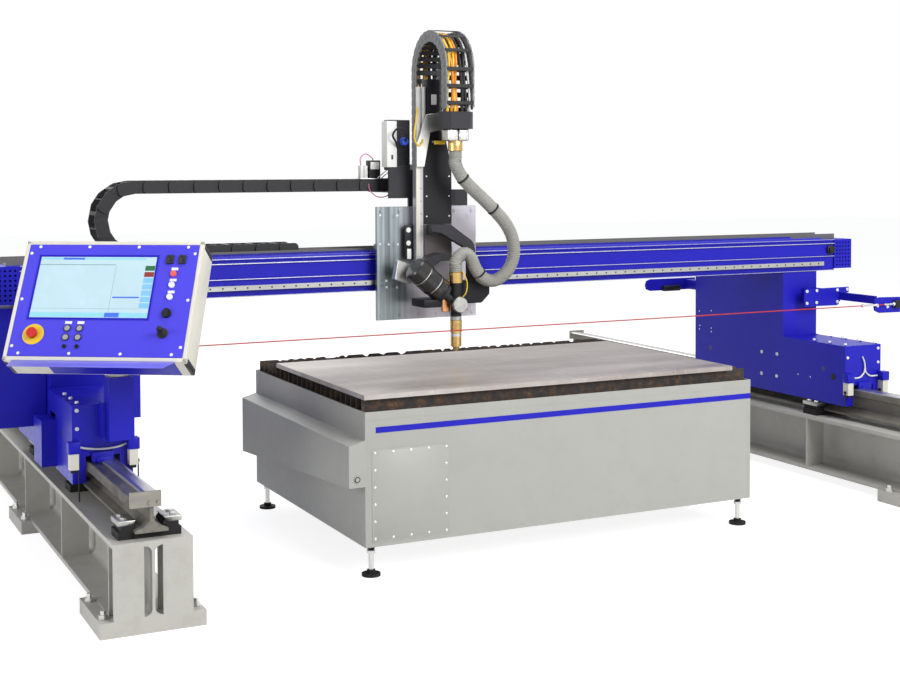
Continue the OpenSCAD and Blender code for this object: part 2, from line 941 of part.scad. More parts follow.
// Lift chain: half a turn with a short limb at the front and a long one behind.
module lift_chain() color(pale_grey)
    translate([head_x, lift_bend_y, lift_bend_z]) rotate([0, 0, 90]) {
        rotate([0, 90, 0]) link_turn(lift_turn_links, lift_link, lift_bend_r, lift_chain_w);
        translate([-lift_bend_r, 0, 0]) rotate([0, 90, 0])
            link_run(front_limb_links, lift_link, lift_chain_w, 1);
        translate([lift_bend_r, 0, 0]) rotate([0, 90, 0])
            link_run(rear_limb_links, lift_link, lift_chain_w, lift_turn_links);
    }

// An open-bottomed sheet box with notches for the rail at its front and back.
module rail_box(x_low, y_low, w, l, top) difference() {
    block([x_low, y_low, skirt_z], [w, l, top - skirt_z]);
    block([x_low + steel_t, y_low + steel_t, skirt_z - overrun],
        [w - 2 * steel_t, l - 2 * steel_t, top - skirt_z - steel_t + overrun]);
    block([rail_x - notch_in, y_low - overrun, skirt_z - overrun],
        [notch_in + rack_face + notch_out, l + 2 * overrun, rail_top + notch_lift - skirt_z + overrun]);
}

module axle_bore(y) translate([rail_x, y, wheel_z]) rotate([0, 90, 0])
    cylinder(r = axle_r + run_fit, h = 2 * housing_w, center = true);

module gantry_columns() color(blue) both_sides() difference() {
    rail_box(rail_x - column_in, column_front, column_w, column_d, beam_z);
    axle_bore(rear_wheel_y);
}

module drive_housings() color(blue) both_sides() {
    difference() {
        rail_box(rail_x - column_in, housing_front, housing_w, housing_l, housing_top);
        axle_bore(front_wheel_y);
        block([drive_x - steel_t - overrun, pinion_y - drive_hole_l / 2, skirt_z - overrun],
            [steel_t + 2 * overrun, drive_hole_l, drive_hole_top - skirt_z + overrun]);
    }
    for (s = [-1, 1], i = [0:top_bolt_count - 1])
        upright([
            housing_x + s * (housing_w / 2 - top_bolt_inset),
            housing_front + top_bolt_inset + i * (housing_l - 2 * top_bolt_inset) / (top_bolt_count - 1),
            housing_top
        ], top_bolt_r, top_bolt_h);
}

module drive_motors() color(blue) both_sides() difference() {
    union() {
        difference() {
            block([drive_x, pinion_y - drive_l / 2, drive_z], [drive_w, drive_l, drive_h]);
            block([drive_x - overrun, pinion_y - drive_l / 2 + drive_t, drive_z + drive_t],
                [drive_w - drive_t + overrun, drive_l - 2 * drive_t, drive_h - 2 * drive_t]);
        }
        block([pinion_x - drive_plate_in, pinion_y - drive_hole_l / 2 + drive_t, drive_plate_z],
            [drive_x + drive_w - pinion_x + drive_plate_in, drive_hole_l - 2 * drive_t, drive_plate_t]);
        upright([pinion_x, pinion_y, drive_plate_z], motor_r, motor_h);
    }
    upright([pinion_x, pinion_y, drive_plate_z - overrun], pinion_shaft_r + run_fit,
        pinion_shaft_l + 2 * overrun);
}

module drive_pinion() color(steel) {
    translate([pinion_x, pinion_y, rack_z - pinion_over])
        linear_extrude(rack_h + 2 * pinion_over) rotate([0, 0, 180])
            polygon(gear_points(rack_module, pinion_teeth));
    upright([pinion_x, pinion_y, rack_z], pinion_shaft_r, drive_plate_z + pinion_shaft_l - rack_z);
}

module right_drive_pinion() drive_pinion();

module left_drive_pinion() mirror([1, 0, 0]) drive_pinion();

module track_wheel(y, box_w) color(steel) translate([rail_x, y, wheel_z]) rotate([0, 90, 0]) {
    difference() {
        cylinder(r = wheel_r, h = wheel_w, center = true);
        for (s = [-1, 1]) translate([0, 0, s * wheel_w / 2])
            cylinder(r = wheel_dish_r, h = 2 * wheel_dish, center = true);
    }
    cylinder(r = wheel_hub_r, h = wheel_hub_w, center = true);
    translate([0, 0, -column_in]) cylinder(r = axle_r, h = box_w);
}

module right_front_wheel() track_wheel(front_wheel_y, housing_w);

module right_rear_wheel() track_wheel(rear_wheel_y, column_w);

module left_front_wheel() mirror([1, 0, 0]) track_wheel(front_wheel_y, housing_w);

module left_rear_wheel() mirror([1, 0, 0]) track_wheel(rear_wheel_y, column_w);

module control_cabinet() color(blue) {
    translate([cabinet_x - cabinet_w / 2, cabinet_front + cabinet_l / 2, cabinet_z]) difference() {
        linear_extrude(cabinet_h) round_rect(cabinet_w, cabinet_l, cabinet_r);
        translate([0, 0, cabinet_t]) linear_extrude(cabinet_h - 2 * cabinet_t)
            square([cabinet_w - 2 * cabinet_t, cabinet_l - 2 * cabinet_t], center = true);
    }
    block([cabinet_x - cabinet_w - door_t, cabinet_front + door_inset, cabinet_z + door_inset],
        [door_t + overrun, cabinet_l - 2 * door_inset, cabinet_h - 2 * door_inset]);
}

module cord_arms() color(blue) {
    anchor_x = -(rail_x - column_in) + anchor_set;
    block([anchor_x, cord_y - anchor_d / 2, anchor_low], [anchor_w, anchor_d, anchor_top - anchor_low]);
    block([anchor_x - anchor_set, cord_y - anchor_foot_l / 2, anchor_low],
        [anchor_set + overrun, anchor_foot_l, anchor_foot_h]);
    block([bracket_in, column_front - bracket_set, bracket_low],
        [arm_x + arm_t - bracket_in, bracket_t, bracket_h]);
    for (x = [bracket_in, rail_x - column_in + column_w - bracket_t])
        block([x, column_front - bracket_set, bracket_low], [bracket_t, bracket_set, bracket_h]);
    block([arm_x, arm_end, arm_low], [arm_t, column_front - bracket_set - arm_end, arm_h]);
    block([arm_x, arm_end, tab_low], [switch_right - arm_x, tab_t, tab_h]);
}

module trip_cord() color("#b3261e") {
    start = -(rail_x - column_in) + anchor_set + anchor_w;
    translate([start, cord_y, cord_z]) rotate([0, 90, 0])
        cylinder(r = cord_r, h = switch_left - eye_l - start);
    translate([switch_left - eye_l - buckle_gap - buckle_l, cord_y, cord_z]) rotate([0, 90, 0])
        cylinder(r = buckle_r, h = buckle_l);
    translate([switch_left - eye_l, cord_y, cord_z]) rotate([0, 90, 0])
        cylinder(r = eye_r, h = eye_l);
    block([switch_left, arm_end - switch_d, cord_z - switch_h / 2], [switch_w, switch_d, switch_h]);
}

module limit_switch(x) difference() {
    block([x, housing_front - limit_d, limit_low], [limit_w, limit_d, limit_h]);
    translate([x + limit_w / 2, feeler_y, feeler_z]) rotate([0, 90, 0])
        cylinder(r = feeler_pin_r + run_fit, h = limit_w + 2 * overrun, center = true);
}

module limit_switches() color(blue) both_sides()
    for (x = [limit_outer_x, limit_inner_x]) limit_switch(x);

// A sprung rod on a pin through its switch, at the switch's inner side.
module feeler(x, l) color(steel) {
    translate([x - feeler_hub_w, feeler_y, feeler_z]) rotate([0, 90, 0]) {
        cylinder(r = feeler_pin_r, h = limit_w + feeler_hub_w);
        cylinder(r = feeler_hub_r, h = feeler_hub_w - gap);
    }
    upright([x - feeler_hub_w / 2, feeler_y, feeler_z - l], feeler_r, l);
}

module right_outer_feeler() feeler(limit_outer_x, feeler_outer_l);

module right_inner_feeler() feeler(limit_inner_x, feeler_inner_l);

module left_outer_feeler() mirror([1, 0, 0]) feeler(limit_outer_x, feeler_outer_l);

module left_inner_feeler() mirror([1, 0, 0]) feeler(limit_inner_x, feeler_inner_l);

module carriage_plate() color(aluminium) {
    block([carriage_x - carriage_w / 2, plate_front, carriage_low],
        [carriage_w, plate_t, carriage_top - carriage_low]);
    for (x = block_xs) {
        block([carriage_x + x - block_w / 2, plate_back, beam_z + guide_low + guide_w / 2 - block_h / 2],
            [block_w, plate_set - guide_t - gap, block_h]);
        block([carriage_x + x - block_w / 2, plate_back, beam_top_z + top_guide_t + gap],
            [block_w, plate_set + top_guide_set + top_guide_w - overrun, top_block_h]);
    }
    for (z = lift_block_zs) difference() {
        block([lift_x - lift_block_w / 2, plate_front - lift_block_d, z],
            [lift_block_w, lift_block_d, lift_block_h]);
        block([lift_x - lift_rail_w / 2 - gap, plate_front - lift_block_d - overrun, z - overrun],
            [lift_rail_w + 2 * gap, lift_rail_d + gap + overrun, lift_block_h + 2 * overrun]);
    }
    for (z = [carriage_low + plate_bolt_inset, carriage_top - plate_bolt_inset], i = [0:plate_bolt_cols - 1])
        translate([
            carriage_x - carriage_w / 2 + plate_bolt_inset
                + i * (carriage_w - 2 * plate_bolt_inset) / (plate_bolt_cols - 1),
            plate_front, z
        ]) rotate([90, 0, 0]) cylinder(r = plate_bolt_r, h = plate_bolt_h);
}

module carriage_boxes() color(black) {
    difference() {
        union() {
            block([cross_pinion_x - gear_w / 2, plate_back, beam_top_z + gear_lift],
                [gear_w, cross_rack_y - plate_back - top_guide_set, gear_h]);
            block([cross_pinion_x - cross_motor_w / 2, plate_back, beam_top_z + gear_lift + gear_h],
                [cross_motor_w, cross_motor_w, cross_motor_top - beam_top_z - gear_lift - gear_h]);
        }
        translate([cross_pinion_x, cross_rack_y, cross_pinion_z]) rotate([90, 0, 0])
            cylinder(r = pinion_shaft_r + run_fit, h = plate_set + overrun);
    }
    block([mast_left, plate_back, mast_low], [mast_right - mast_left, mast_t, mast_top - mast_low]);
    block([wing_left, plate_back, wing_low],
        [mast_left - wing_left + overrun, mast_t, mast_top - wing_low]);
    for (i = [0, 1])
        block([wing_left + i * box_w, plate_back, mast_top], [box_w, box_d, box_h]);
    block([wing_left, plate_back, chain_up_z - link_h / 2 - shelf_t],
        [shelf_w, chain_y + cross_chain_w / 2 - plate_back, shelf_t]);
    block([head_x - lift_chain_w / 2, plate_back, lift_rear_end - clip_shelf_t],
        [lift_chain_w, lift_bend_y + lift_bend_r + link_h / 2 - plate_back, clip_shelf_t]);
}

module cross_pinion() color(steel) translate([cross_pinion_x, cross_rack_y, cross_pinion_z]) {
    translate([0, cross_rack_d, 0]) rotate([90, 0, 0]) linear_extrude(cross_rack_d) rotate([0, 0, -90])
        polygon(gear_points(cross_module, cross_teeth));
    rotate([90, 0, 0]) cylinder(r = pinion_shaft_r, h = plate_set);
}

module lift_beam() color(aluminium) {
    block([lift_x - lift_w / 2, lift_front, lift_low], [lift_w, lift_d, cover_top - lift_low]);
    block([lift_x - lift_rail_w / 2, lift_back - overrun, lift_low],
        [lift_rail_w, lift_rail_d + overrun, cover_top - lift_low]);
    block([lift_x - lift_w / 2 - lift_strip_w, lift_front, lift_low],
        [lift_strip_w + overrun, lift_d, lift_top - lift_low]);
    block([lift_motor_left, lift_front, cover_top - overrun],
        [lift_motor_w, lift_d, lift_motor_top - cover_top + overrun]);
    for (i = [0, 1])
        upright([damper_low_x + i * damper_pitch, lift_front + lift_d / 2, lift_top - overrun], damper_r,
            damper_top - lift_top + overrun);
}

module lift_cover() color(black) translate([lift_x, lift_front, 0]) rotate([90, 0, 0])
    linear_extrude(cover_d) {
        translate([-lift_w / 2, cover_low]) square([lift_w, cover_top - cover_low]);
        translate([-lift_w / 2, lift_low]) square([lift_w, cover_low - lift_low - cover_gap]);
        polygon([
            [-lift_w / 2, cover_top], [lift_w / 2, cover_top],
            [cover_peak_w / 2, cover_peak], [-cover_peak_w / 2, cover_peak],
        ]);
    }

module cable_gland() color(dark_grey) {
    translate([head_x, head_y, gland_low]) linear_extrude(gland_top - gland_low) polygon([
        for (s = [[-1, -1], [1, -1], [1, 1], [-1, 1]], k = [0, 1])
            let (turn = (s[0] * s[1] > 0) ? k : 1 - k) [
                s[0] * (gland_w / 2 - (turn == 0 ? 0 : gland_chamfer)),
                s[1] * (gland_d / 2 - (turn == 0 ? gland_chamfer : 0)),
            ]
    ]);
    block([head_x - gland_clip_w / 2, head_y - gland_clip_d / 2, gland_top],
        [gland_clip_w, gland_clip_d, gland_clip_top - gland_top]);
    translate([head_x, head_y, clamp_low]) linear_extrude(gland_low - clamp_low)
        round_rect(clamp_w, clamp_d, gland_chamfer);
    upright([head_x, head_y, fitting_low], fitting_r, clamp_low - fitting_low);
    block([head_x - gland_arm_w / 2, head_y, gland_arm_low],
        [gland_arm_w, cover_front - head_y, gland_arm_h]);
}

module head_arm() color(dark_grey) {
    translate([arch_x, arch_y + arch_d / 2, arch_z]) along_y(arch_d) {
        intersection() {
            difference() {
                circle(arch_out);
                circle(arch_in);
            }
            square(arch_out);
        }
        translate([arch_in, head_box_low + head_box_h - arch_z])
            square([arch_out - arch_in, arch_z - head_box_low - head_box_h]);
        translate([-arch_left, arch_in]) square([arch_left, arch_out - arch_in]);
    }
    block([arch_x - arch_left, arch_y, arch_z + arch_in],
        [arch_left, cover_front - arch_y, arch_out - arch_in]);
    translate([head_box_x, arch_y + head_box_d / 2, head_box_low]) along_y(head_box_d) polygon([
        [0, 0], [head_box_w - head_box_cut, 0], [head_box_w, head_box_cut],
        [head_box_w, head_box_h], [0, head_box_h],
    ]);
}

// Places its children with Z up the tilt axis, away from the torch.
module on_tilt_axis() translate([head_x, head_y, knob_z]) rotate([0, tilt_incl - 90, 0]) children();

module bevel_drive() color(black) {
    on_tilt_axis() difference() {
        upright([0, 0, drive_near], bevel_r, bevel_l);
        for (i = [1:bevel_groove_count])
            translate([0, 0, drive_near + i * bevel_l / (bevel_groove_count + 1) - bevel_groove_w / 2])
                difference() {
                    cylinder(r = bevel_r + overrun, h = bevel_groove_w);
                    cylinder(r = bevel_r - bevel_groove, h = bevel_groove_w);
                }
    }
    block([bevel_bracket_x, cover_front - bevel_bracket_d, bevel_bracket_z],
        [bevel_bracket_w, bevel_bracket_d, bevel_bracket_h]);
}

module torch_body() color(brass) {
    upright([head_x, head_y, sleeve_low], torch_r, torch_top - collar_h - sleeve_low + overrun);
    upright([head_x, head_y, torch_top - collar_h], collar_r, collar_h);
    upright([head_x, head_y, torch_tip_z + nozzle_l], core_r,
        sleeve_low - torch_tip_z - nozzle_l + overrun);
    upright([head_x, head_y, torch_tip_z + nozzle_l], ring_r, ring_h);
    translate([head_x, head_y, knob_z]) rotate([90, 0, 0]) {
        cylinder(r = knob_neck_r, h = knob_off + overrun);
        upright([0, 0, knob_off], knob_r, knob_t, knob_sides);
    }
    on_tilt_axis() {
        cylinder(r = torch_arm_r, h = drive_near - hub_t);
        upright([0, 0, drive_near - hub_t - gap], flange_r, hub_t);
    }
}

// Turned profile of the consumables: cone tip, nozzle, ring and grooved sleeve.
nozzle_steps = [
    [0, 0], [8, 0], [20, 24], [26.5, 24], [26.5, 73], [25, 73], [25, 92], [29, 92],
    [29, 108], [26, 108], [26, 112], [29, 112], [29, 128], [26, 128], [26, 132], [29, 132],
    [29, 150], [0, 150],
];

module torch_nozzle() color(brass) translate([head_x, head_y, torch_tip_z])
    rotate_extrude() polygon(nozzle_steps);

// Smooth route through the hose points by Catmull-Rom steps.
function hose_at(i) = hose_route[max(0, min(len(hose_route) - 1, i))];
function spline(a, b, c, d, t) =
    0.5 * (2 * b + (c - a) * t + (2 * a - 5 * b + 4 * c - d) * t * t + (3 * b - a - 3 * c + d) * t * t * t);
function bulge(k, n) = head_y - hose_forward * sin(180 * k / n);
hose_line = [
    hose_route[0] - [0, hose_lift],
    for (i = [0:len(hose_route) - 2], k = [(i == 0 ? 1 : 0):hose_steps - 1])
        spline(hose_at(i - 1), hose_at(i), hose_at(i + 1), hose_at(i + 2), k / hose_steps),
    hose_route[len(hose_route) - 1] + [0, hose_lift],
];
function lengths(p, i = 0, sum = 0) =
    i == len(p) - 1 ? [sum] : concat([sum], lengths(p, i + 1, sum + norm(p[i + 1] - p[i])));
hose_along = lengths(hose_line);
hose_l = hose_along[len(hose_along) - 1];
function hose_seg(s, lo, hi) =
    hi - lo < 2 ? lo : let (m = floor((lo + hi) / 2)) (hose_along[m] <= s ? hose_seg(s, m, hi) : hose_seg(s, lo, m));
function hose_point(s) = let (
    i = hose_seg(s, 0, len(hose_along) - 1),
    t = (s - hose_along[i]) / (hose_along[i + 1] - hose_along[i])
) hose_line[i] + t * (hose_line[i + 1] - hose_line[i]);
function hose_ring(s, r) = let (
    step = hose_r / 4,
    d = hose_point(min(hose_l, s + step)) - hose_point(max(0, s - step)),
    side = [d[1], -d[0]] / norm(d),
    p = hose_point(s)
) [
    for (j = [0:hose_sides - 1])
        let (a = 360 * j / hose_sides)
            [p[0] + r * cos(a) * side[0], bulge(s, hose_l) + r * sin(a), p[1] + r * cos(a) * side[1]]
];
function ring_faces(n, flip) = [
    for (i = [0:n - 2], j = [0:hose_sides - 1])
        let (
            a = i * hose_sides + j,
            b = i * hose_sides + (j + 1) % hose_sides,
            c = b + hose_sides,
            d = a + hose_sides
        ) each (flip ? [[a, c, b], [a, d, c]] : [[a, b, c], [a, c, d]])
];

module torch_hose() color(pale_grey) {
    rings = [
        for (i = [0:hose_ribs - 1], k = [0, 1])
            hose_ring(hose_l * (i + (k == 0 ? 0.05 : 0.55)) / hose_ribs, k == 0 ? hose_r - hose_rib : hose_r)
    ];
    outer = concat([hose_ring(0, hose_r - hose_rib)], rings, [hose_ring(hose_l, hose_r - hose_rib)]);
    bore_n = hose_ribs / 2;
    inner = [for (i = [0:bore_n]) hose_ring(hose_l * i / bore_n, hose_bore)];
    n = len(outer);
    m = len(inner);
    points = concat([for (r = outer) each r], [for (r = inner) each r]);
    base = n * hose_sides;
    caps = [
        for (j = [0:hose_sides - 1])
            let (k = (j + 1) % hose_sides, e = base - hose_sides, f = base + (m - 1) * hose_sides)
                each [
                    [j, base + j, base + k], [j, base + k, k],
                    [e + j, f + k, f + j], [e + j, e + k, f + k],
                ]
    ];
    polyhedron(points, concat(
        ring_faces(n, false),
        [for (f = ring_faces(m, true)) [f[0] + base, f[1] + base, f[2] + base]],
        caps
    ));
}

// Places its children on the panel face, with X across it, Y up it and Z out of it.
module on_panel() translate([panel_x, panel_y, panel_z]) rotate([0, 0, panel_yaw])
    rotate([90 - panel_tilt, 0, 0]) children();

module on_face(pos) on_panel() translate([pos[0], pos[1], 0]) children();

module panel_post() color(blue) {
    block([post_x - post_w / 2, post_y - post_w / 2, post_low], [post_w, post_w, post_top - post_low]);
    block([post_x - post_plate_w / 2, post_y, post_low],
        [post_plate_w, housing_front - post_y, post_plate_h]);
}

module panel_case() color(cream) {
    on_panel() difference() {
        translate([0, 0, -case_d]) linear_extrude(case_d)
            round_rect(face_w + 2 * case_edge, face_h + 2 * case_edge, case_r);
        translate([0, 0, -face_t]) linear_extrude(face_t + overrun) square([face_w, face_h], center = true);
        translate([0, 0, -case_d + case_t]) linear_extrude(case_d)
            square([face_w - 2 * case_edge, face_h - 2 * case_edge], center = true);
    }
    on_panel() {
        block([-face_w / 2, -face_h / 2 - case_edge - ledge_h, -case_d], [face_w, ledge_h + overrun, case_d + ledge_d]);
        block([-face_w / 2, -face_h / 2 - case_edge - ledge_h, ledge_d - ledge_h / 2], [face_w, ledge_lip, ledge_h / 2]);
        block([-bracket_w / 2, -bracket_l / 2, -case_d - bracket_d], [bracket_w, bracket_l, bracket_d + overrun]);
    }
    upright([post_x, post_y, post_top + gap], swivel_r, swivel_top - post_top);
}

module face_bore(pos, r) translate([pos[0], pos[1], -face_t - overrun]) cylinder(r = r, h = face_t + 2 * overrun);

module panel_face() color(pale_grey) on_panel() {
    difference() {
        translate([0, 0, -face_t]) linear_extrude(face_t) square([face_w, face_h], center = true);
        face_bore(stop_pos, stop_stem_r + run_fit);
        for (x = button_x, y = button_y) face_bore([x, y], button_r + gap);
        for (x = toggle_x) face_bore([x, toggle_y], toggle_ball_r + gap);
        face_bore(knob_pos, knob_stem_r + run_fit);
        face_bore(joy_pos, joy_ball_r + gap);
    }
    translate([screen_x, screen_y, 0]) linear_extrude(bezel_t) difference() {
        square([screen_w + 2 * bezel_w, screen_h + 2 * bezel_w], center = true);
        square([screen_w, screen_h], center = true);
    }
    linear_extrude(button_ring_h) for (x = button_x, y = button_y) translate([x, y]) difference() {
        circle(button_ring_r);
        circle(button_r + gap);
    }
    linear_extrude(stop_disc_t) translate(stop_pos) difference() {
        circle(stop_disc_r);
        circle(stop_stem_r + run_fit);
    }
    linear_extrude(bezel_t) for (x = toggle_x) translate([x, toggle_y]) difference() {
        circle(toggle_ring_r);
        circle(toggle_ball_r + gap);
    }
    linear_extrude(bezel_t) translate(joy_pos) difference() {
        circle(joy_ring_r);
        circle(joy_ball_r + gap);
    }
    for (y = lamp_ys) upright([lamp_x, y, 0], lamp_r, lamp_h);
    for (x = socket_xs) block([x - socket_w / 2, socket_y - socket_h / 2, 0], [socket_w, socket_h, bezel_t]);
}

module emergency_stop() color("#b3201c") on_face(stop_pos) {
    upright([0, 0, -face_t - button_depth], stop_stem_r, face_t + button_depth + stop_lift);
    upright([0, 0, stop_lift], stop_cap_r, stop_cap_h);
}

module push_button(pos) color(pale_grey) on_face(pos)
    upright([0, 0, -button_depth], button_r, button_depth + button_h);

module upper_left_button() push_button([button_x[0], button_y[0]]);

module upper_right_button() push_button([button_x[1], button_y[0]]);

module lower_left_button() push_button([button_x[0], button_y[1]]);

module lower_right_button() push_button([button_x[1], button_y[1]]);

module toggle(pos) color(black) on_face(pos) {
    sphere(toggle_ball_r);
    cylinder(r = toggle_r, h = toggle_l);
}

module left_toggle() toggle([toggle_x[0], toggle_y]);

module right_toggle() toggle([toggle_x[1], toggle_y]);

module mode_knob() color(black) on_face(knob_pos) {
    upright([0, 0, -face_t - button_depth], knob_stem_r, face_t + button_depth + knob_face_h);
    difference() {
        upright([0, 0, gap], knob_face_r, knob_face_h);
        for (s = [-1, 1]) translate([s * knob_face_r, 0, knob_face_h])
            cube([knob_face_r, 2 * knob_face_r + overrun, knob_face_h], center = true);
    }
}

module joystick() color(black) on_face(joy_pos) {
    sphere(joy_ball_r);
    cylinder(r = joy_stem_r, h = joy_l);
    translate([0, 0, joy_l]) sphere(joy_grip_r);
}

track_beams();
track_feet();
track_rails();
rail_clips();
track_racks();
end_stops();
table_casing();
extraction_duct();
table_feet();
slat_combs();
slats();
work_plate();
cross_beam();
beam_end_covers();
cross_rails();
chain_tray();
cross_chain_lower();
gantry_columns();
drive_housings();
drive_motors();
control_cabinet();
cord_arms();
trip_cord();
limit_switches();
panel_post();
left_front_wheel();
left_rear_wheel();
right_front_wheel();
right_rear_wheel();
left_drive_pinion();
right_drive_pinion();
left_outer_feeler();
left_inner_feeler();
right_outer_feeler();
right_inner_feeler();
carriage_plate();
carriage_boxes();
cross_pinion();
cross_chain_upper();
cross_chain_bend();
lift_chain();
lift_beam();
lift_cover();
cable_gland();
head_arm();
bevel_drive();
torch_hose();
torch_body();
torch_nozzle();
panel_case();
panel_face();
emergency_stop();
joystick();
mode_knob();
upper_left_button();
upper_right_button();
lower_left_button();
lower_right_button();
left_toggle();
right_toggle();
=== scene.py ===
"""Dresses the plasma cutting machine: camera, light, cords, finishes and fine pieces on the CAD frame."""

from math import cos, pi, radians, sin
from random import Random

import bpy
from mathutils import Matrix, Vector, noise


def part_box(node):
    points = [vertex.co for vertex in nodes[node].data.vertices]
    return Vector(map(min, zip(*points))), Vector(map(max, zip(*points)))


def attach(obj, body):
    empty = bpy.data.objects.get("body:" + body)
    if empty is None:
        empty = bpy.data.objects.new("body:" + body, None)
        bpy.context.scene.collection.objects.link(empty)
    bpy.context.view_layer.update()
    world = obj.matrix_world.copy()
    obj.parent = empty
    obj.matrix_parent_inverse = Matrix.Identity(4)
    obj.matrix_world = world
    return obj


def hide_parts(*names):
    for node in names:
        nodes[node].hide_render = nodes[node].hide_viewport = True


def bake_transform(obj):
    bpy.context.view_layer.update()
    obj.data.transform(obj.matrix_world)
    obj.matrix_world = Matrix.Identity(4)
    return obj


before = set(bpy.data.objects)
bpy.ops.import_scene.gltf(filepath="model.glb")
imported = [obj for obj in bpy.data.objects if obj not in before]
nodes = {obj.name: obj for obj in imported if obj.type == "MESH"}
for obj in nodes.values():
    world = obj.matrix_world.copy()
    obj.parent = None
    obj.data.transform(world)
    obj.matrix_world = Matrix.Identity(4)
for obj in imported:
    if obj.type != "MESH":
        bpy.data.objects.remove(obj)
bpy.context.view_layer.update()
MM = 0.001
X, Y, Z = Vector((1, 0, 0)), Vector((0, 1, 0)), Vector((0, 0, 1))
ORIGIN = (0, 0, 0)


def mm(x, y, z):
    """A place or size given in millimetres, in metres."""
    return Vector((x, y, z)) * MM


def low(node):
    """The node's lowest corner in millimetres."""
    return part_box(node)[0] / MM


def high(node):
    """The node's highest corner in millimetres."""
    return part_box(node)[1] / MM


def placed(piece):
    """Puts a new object in the scene."""
    bpy.context.scene.collection.objects.link(piece)
    return piece


def connect(tree, value, socket):
    """Links another node's output to a socket, or sets a constant on it."""
    if isinstance(value, bpy.types.NodeSocket):
        tree.links.new(value, socket)
    else:
        socket.default_value = value


def feed(tree, node, **values):
    """Connects a shader node's inputs; an underscore in a name stands for a space."""
    for name, value in values.items():
        connect(tree, value, node.inputs[name.replace("_", " ")])


def add_node(tree, kind, **values):
    """A new shader node with its inputs connected."""
    node = tree.nodes.new("ShaderNode" + kind)
    feed(tree, node, **values)
    return node


def maths(tree, operation, *values):
    """The result of a Math node on other nodes' outputs or numbers."""
    node = add_node(tree, "Math")
    node.operation = operation
    for socket, value in zip(node.inputs, values):
        connect(tree, value, socket)
    return node.outputs[0]


# Camera and light

PHOTO_W, PHOTO_H = 900, 675
SENSOR_W = 36
FOCAL_PX = 1417.5
CENTRE_PX = (450, 215.4)
CAMERA_PLACE = mm(-3340, -7003, 1724)
CAMERA_TILT, CAMERA_TURN, CAMERA_ROLL = radians(88.03), radians(-26.27), radians(-0.19)
VIEW_DEPTH = 100
WHITE = (1, 1, 1, 1)
FILL_COLOUR, FILL_STRENGTH = (0.93, 0.96, 1.0, 1), 0.36
FLOOR_COLOUR, FLOOR_GLOW, FLOOR_GLOW_SHARE = (0.82, 0.82, 0.82, 1), 1.44, 0.6
FLOOR_SIZE, FLOOR_Z = 60, -0.5
# Each lamp's place and target in metres, its size and its power
LAMPS = {
    "key_lamp": ((2.5, -9.5, 6.0), (0, -0.6, 0.9), 5.0, 980),
    "top_lamp": ((0.5, -1.5, 8.5), (0, -0.8, 0.9), 5.0, 260),
    "back_lamp": ((0.5, 7.0, 6.5), (0, 0, 0.9), 5.0, 260),
    "side_lamp": ((-8.0, -2.6, 2.4), (-1.0, -0.8, 0.4), 3.0, 190),
}


def set_camera():
    """The photograph's camera, with the lens axis above the picture's middle."""
    data = bpy.data.cameras.new("camera")
    data.sensor_width = SENSOR_W
    data.lens = FOCAL_PX / PHOTO_W * SENSOR_W
    data.shift_x = (PHOTO_W / 2 - CENTRE_PX[0]) / PHOTO_W
    data.shift_y = (CENTRE_PX[1] - PHOTO_H / 2) / PHOTO_W
    data.clip_end = VIEW_DEPTH
    camera = placed(bpy.data.objects.new("camera", data))
    turn = Matrix.Rotation(CAMERA_TURN, 4, "Z") @ Matrix.Rotation(CAMERA_TILT, 4, "X")
    camera.matrix_world = Matrix.Translation(CAMERA_PLACE) @ turn @ Matrix.Rotation(CAMERA_ROLL, 4, "Z")
    bpy.context.scene.camera = camera


def area_lamp(name, place, target, size, power):
    """A square lamp at a place, aimed at a target."""
    data = bpy.data.lights.new(name, "AREA")
    data.energy = power
    data.size = size
    lamp = placed(bpy.data.objects.new(name, data))
    aim = (Vector(target) - Vector(place)).to_track_quat("-Z", "Y")
    lamp.matrix_world = Matrix.Translation(place) @ aim.to_matrix().to_4x4()


def shown_to_rays(tree, lit, seen, share, output):
    """Mixes in a share of the seen shader for rays that see it straight, in a gloss or through glass."""
    path = add_node(tree, "LightPath")
    total = path.outputs["Is Camera Ray"]
    for kind in ("Is Glossy Ray", "Is Transmission Ray"):
        total = maths(tree, "MAXIMUM", total, path.outputs[kind])
    mix = add_node(tree, "MixShader", Fac=maths(tree, "MULTIPLY", total, share))
    tree.links.new(lit.outputs[0], mix.inputs[1])
    tree.links.new(seen.outputs[0], mix.inputs[2])
    add_node(tree, output, Surface=mix.outputs[0])


def set_world():
    """A soft grey-blue fill that shows as plain white."""
    world = bpy.data.worlds.new("studio")
    world.use_nodes = True
    tree = world.node_tree
    tree.nodes.clear()
    fill = add_node(tree, "Background", Color=FILL_COLOUR, Strength=FILL_STRENGTH)
    white = add_node(tree, "Background", Color=WHITE, Strength=1.0)
    shown_to_rays(tree, fill, white, 1.0, "OutputWorld")
    bpy.context.scene.world = world


def set_floor():
    """A pale floor that takes shadows and otherwise shows nearly white."""
    bpy.ops.object.select_all(action="DESELECT")
    bpy.ops.mesh.primitive_plane_add(size=FLOOR_SIZE, location=(0, 0, FLOOR_Z * MM))
    floor = bpy.context.object
    floor.name = "floor"
    material = bpy.data.materials.new("floor_white")
    material.use_nodes = True
    tree = material.node_tree
    tree.nodes.clear()
    matt = add_node(tree, "BsdfDiffuse", Color=FLOOR_COLOUR)
    glowing = add_node(tree, "Emission", Color=WHITE, Strength=FLOOR_GLOW)
    shown_to_rays(tree, matt, glowing, FLOOR_GLOW_SHARE, "OutputMaterial")
    floor.data.materials.append(material)


def set_stage():
    """The photograph's camera, background, floor and lamps."""
    bpy.context.scene.view_settings.view_transform = "Standard"
    set_camera()
    set_world()
    set_floor()
    for name, lamp in LAMPS.items():
        area_lamp(name, *lamp)


set_stage()

# Finishes


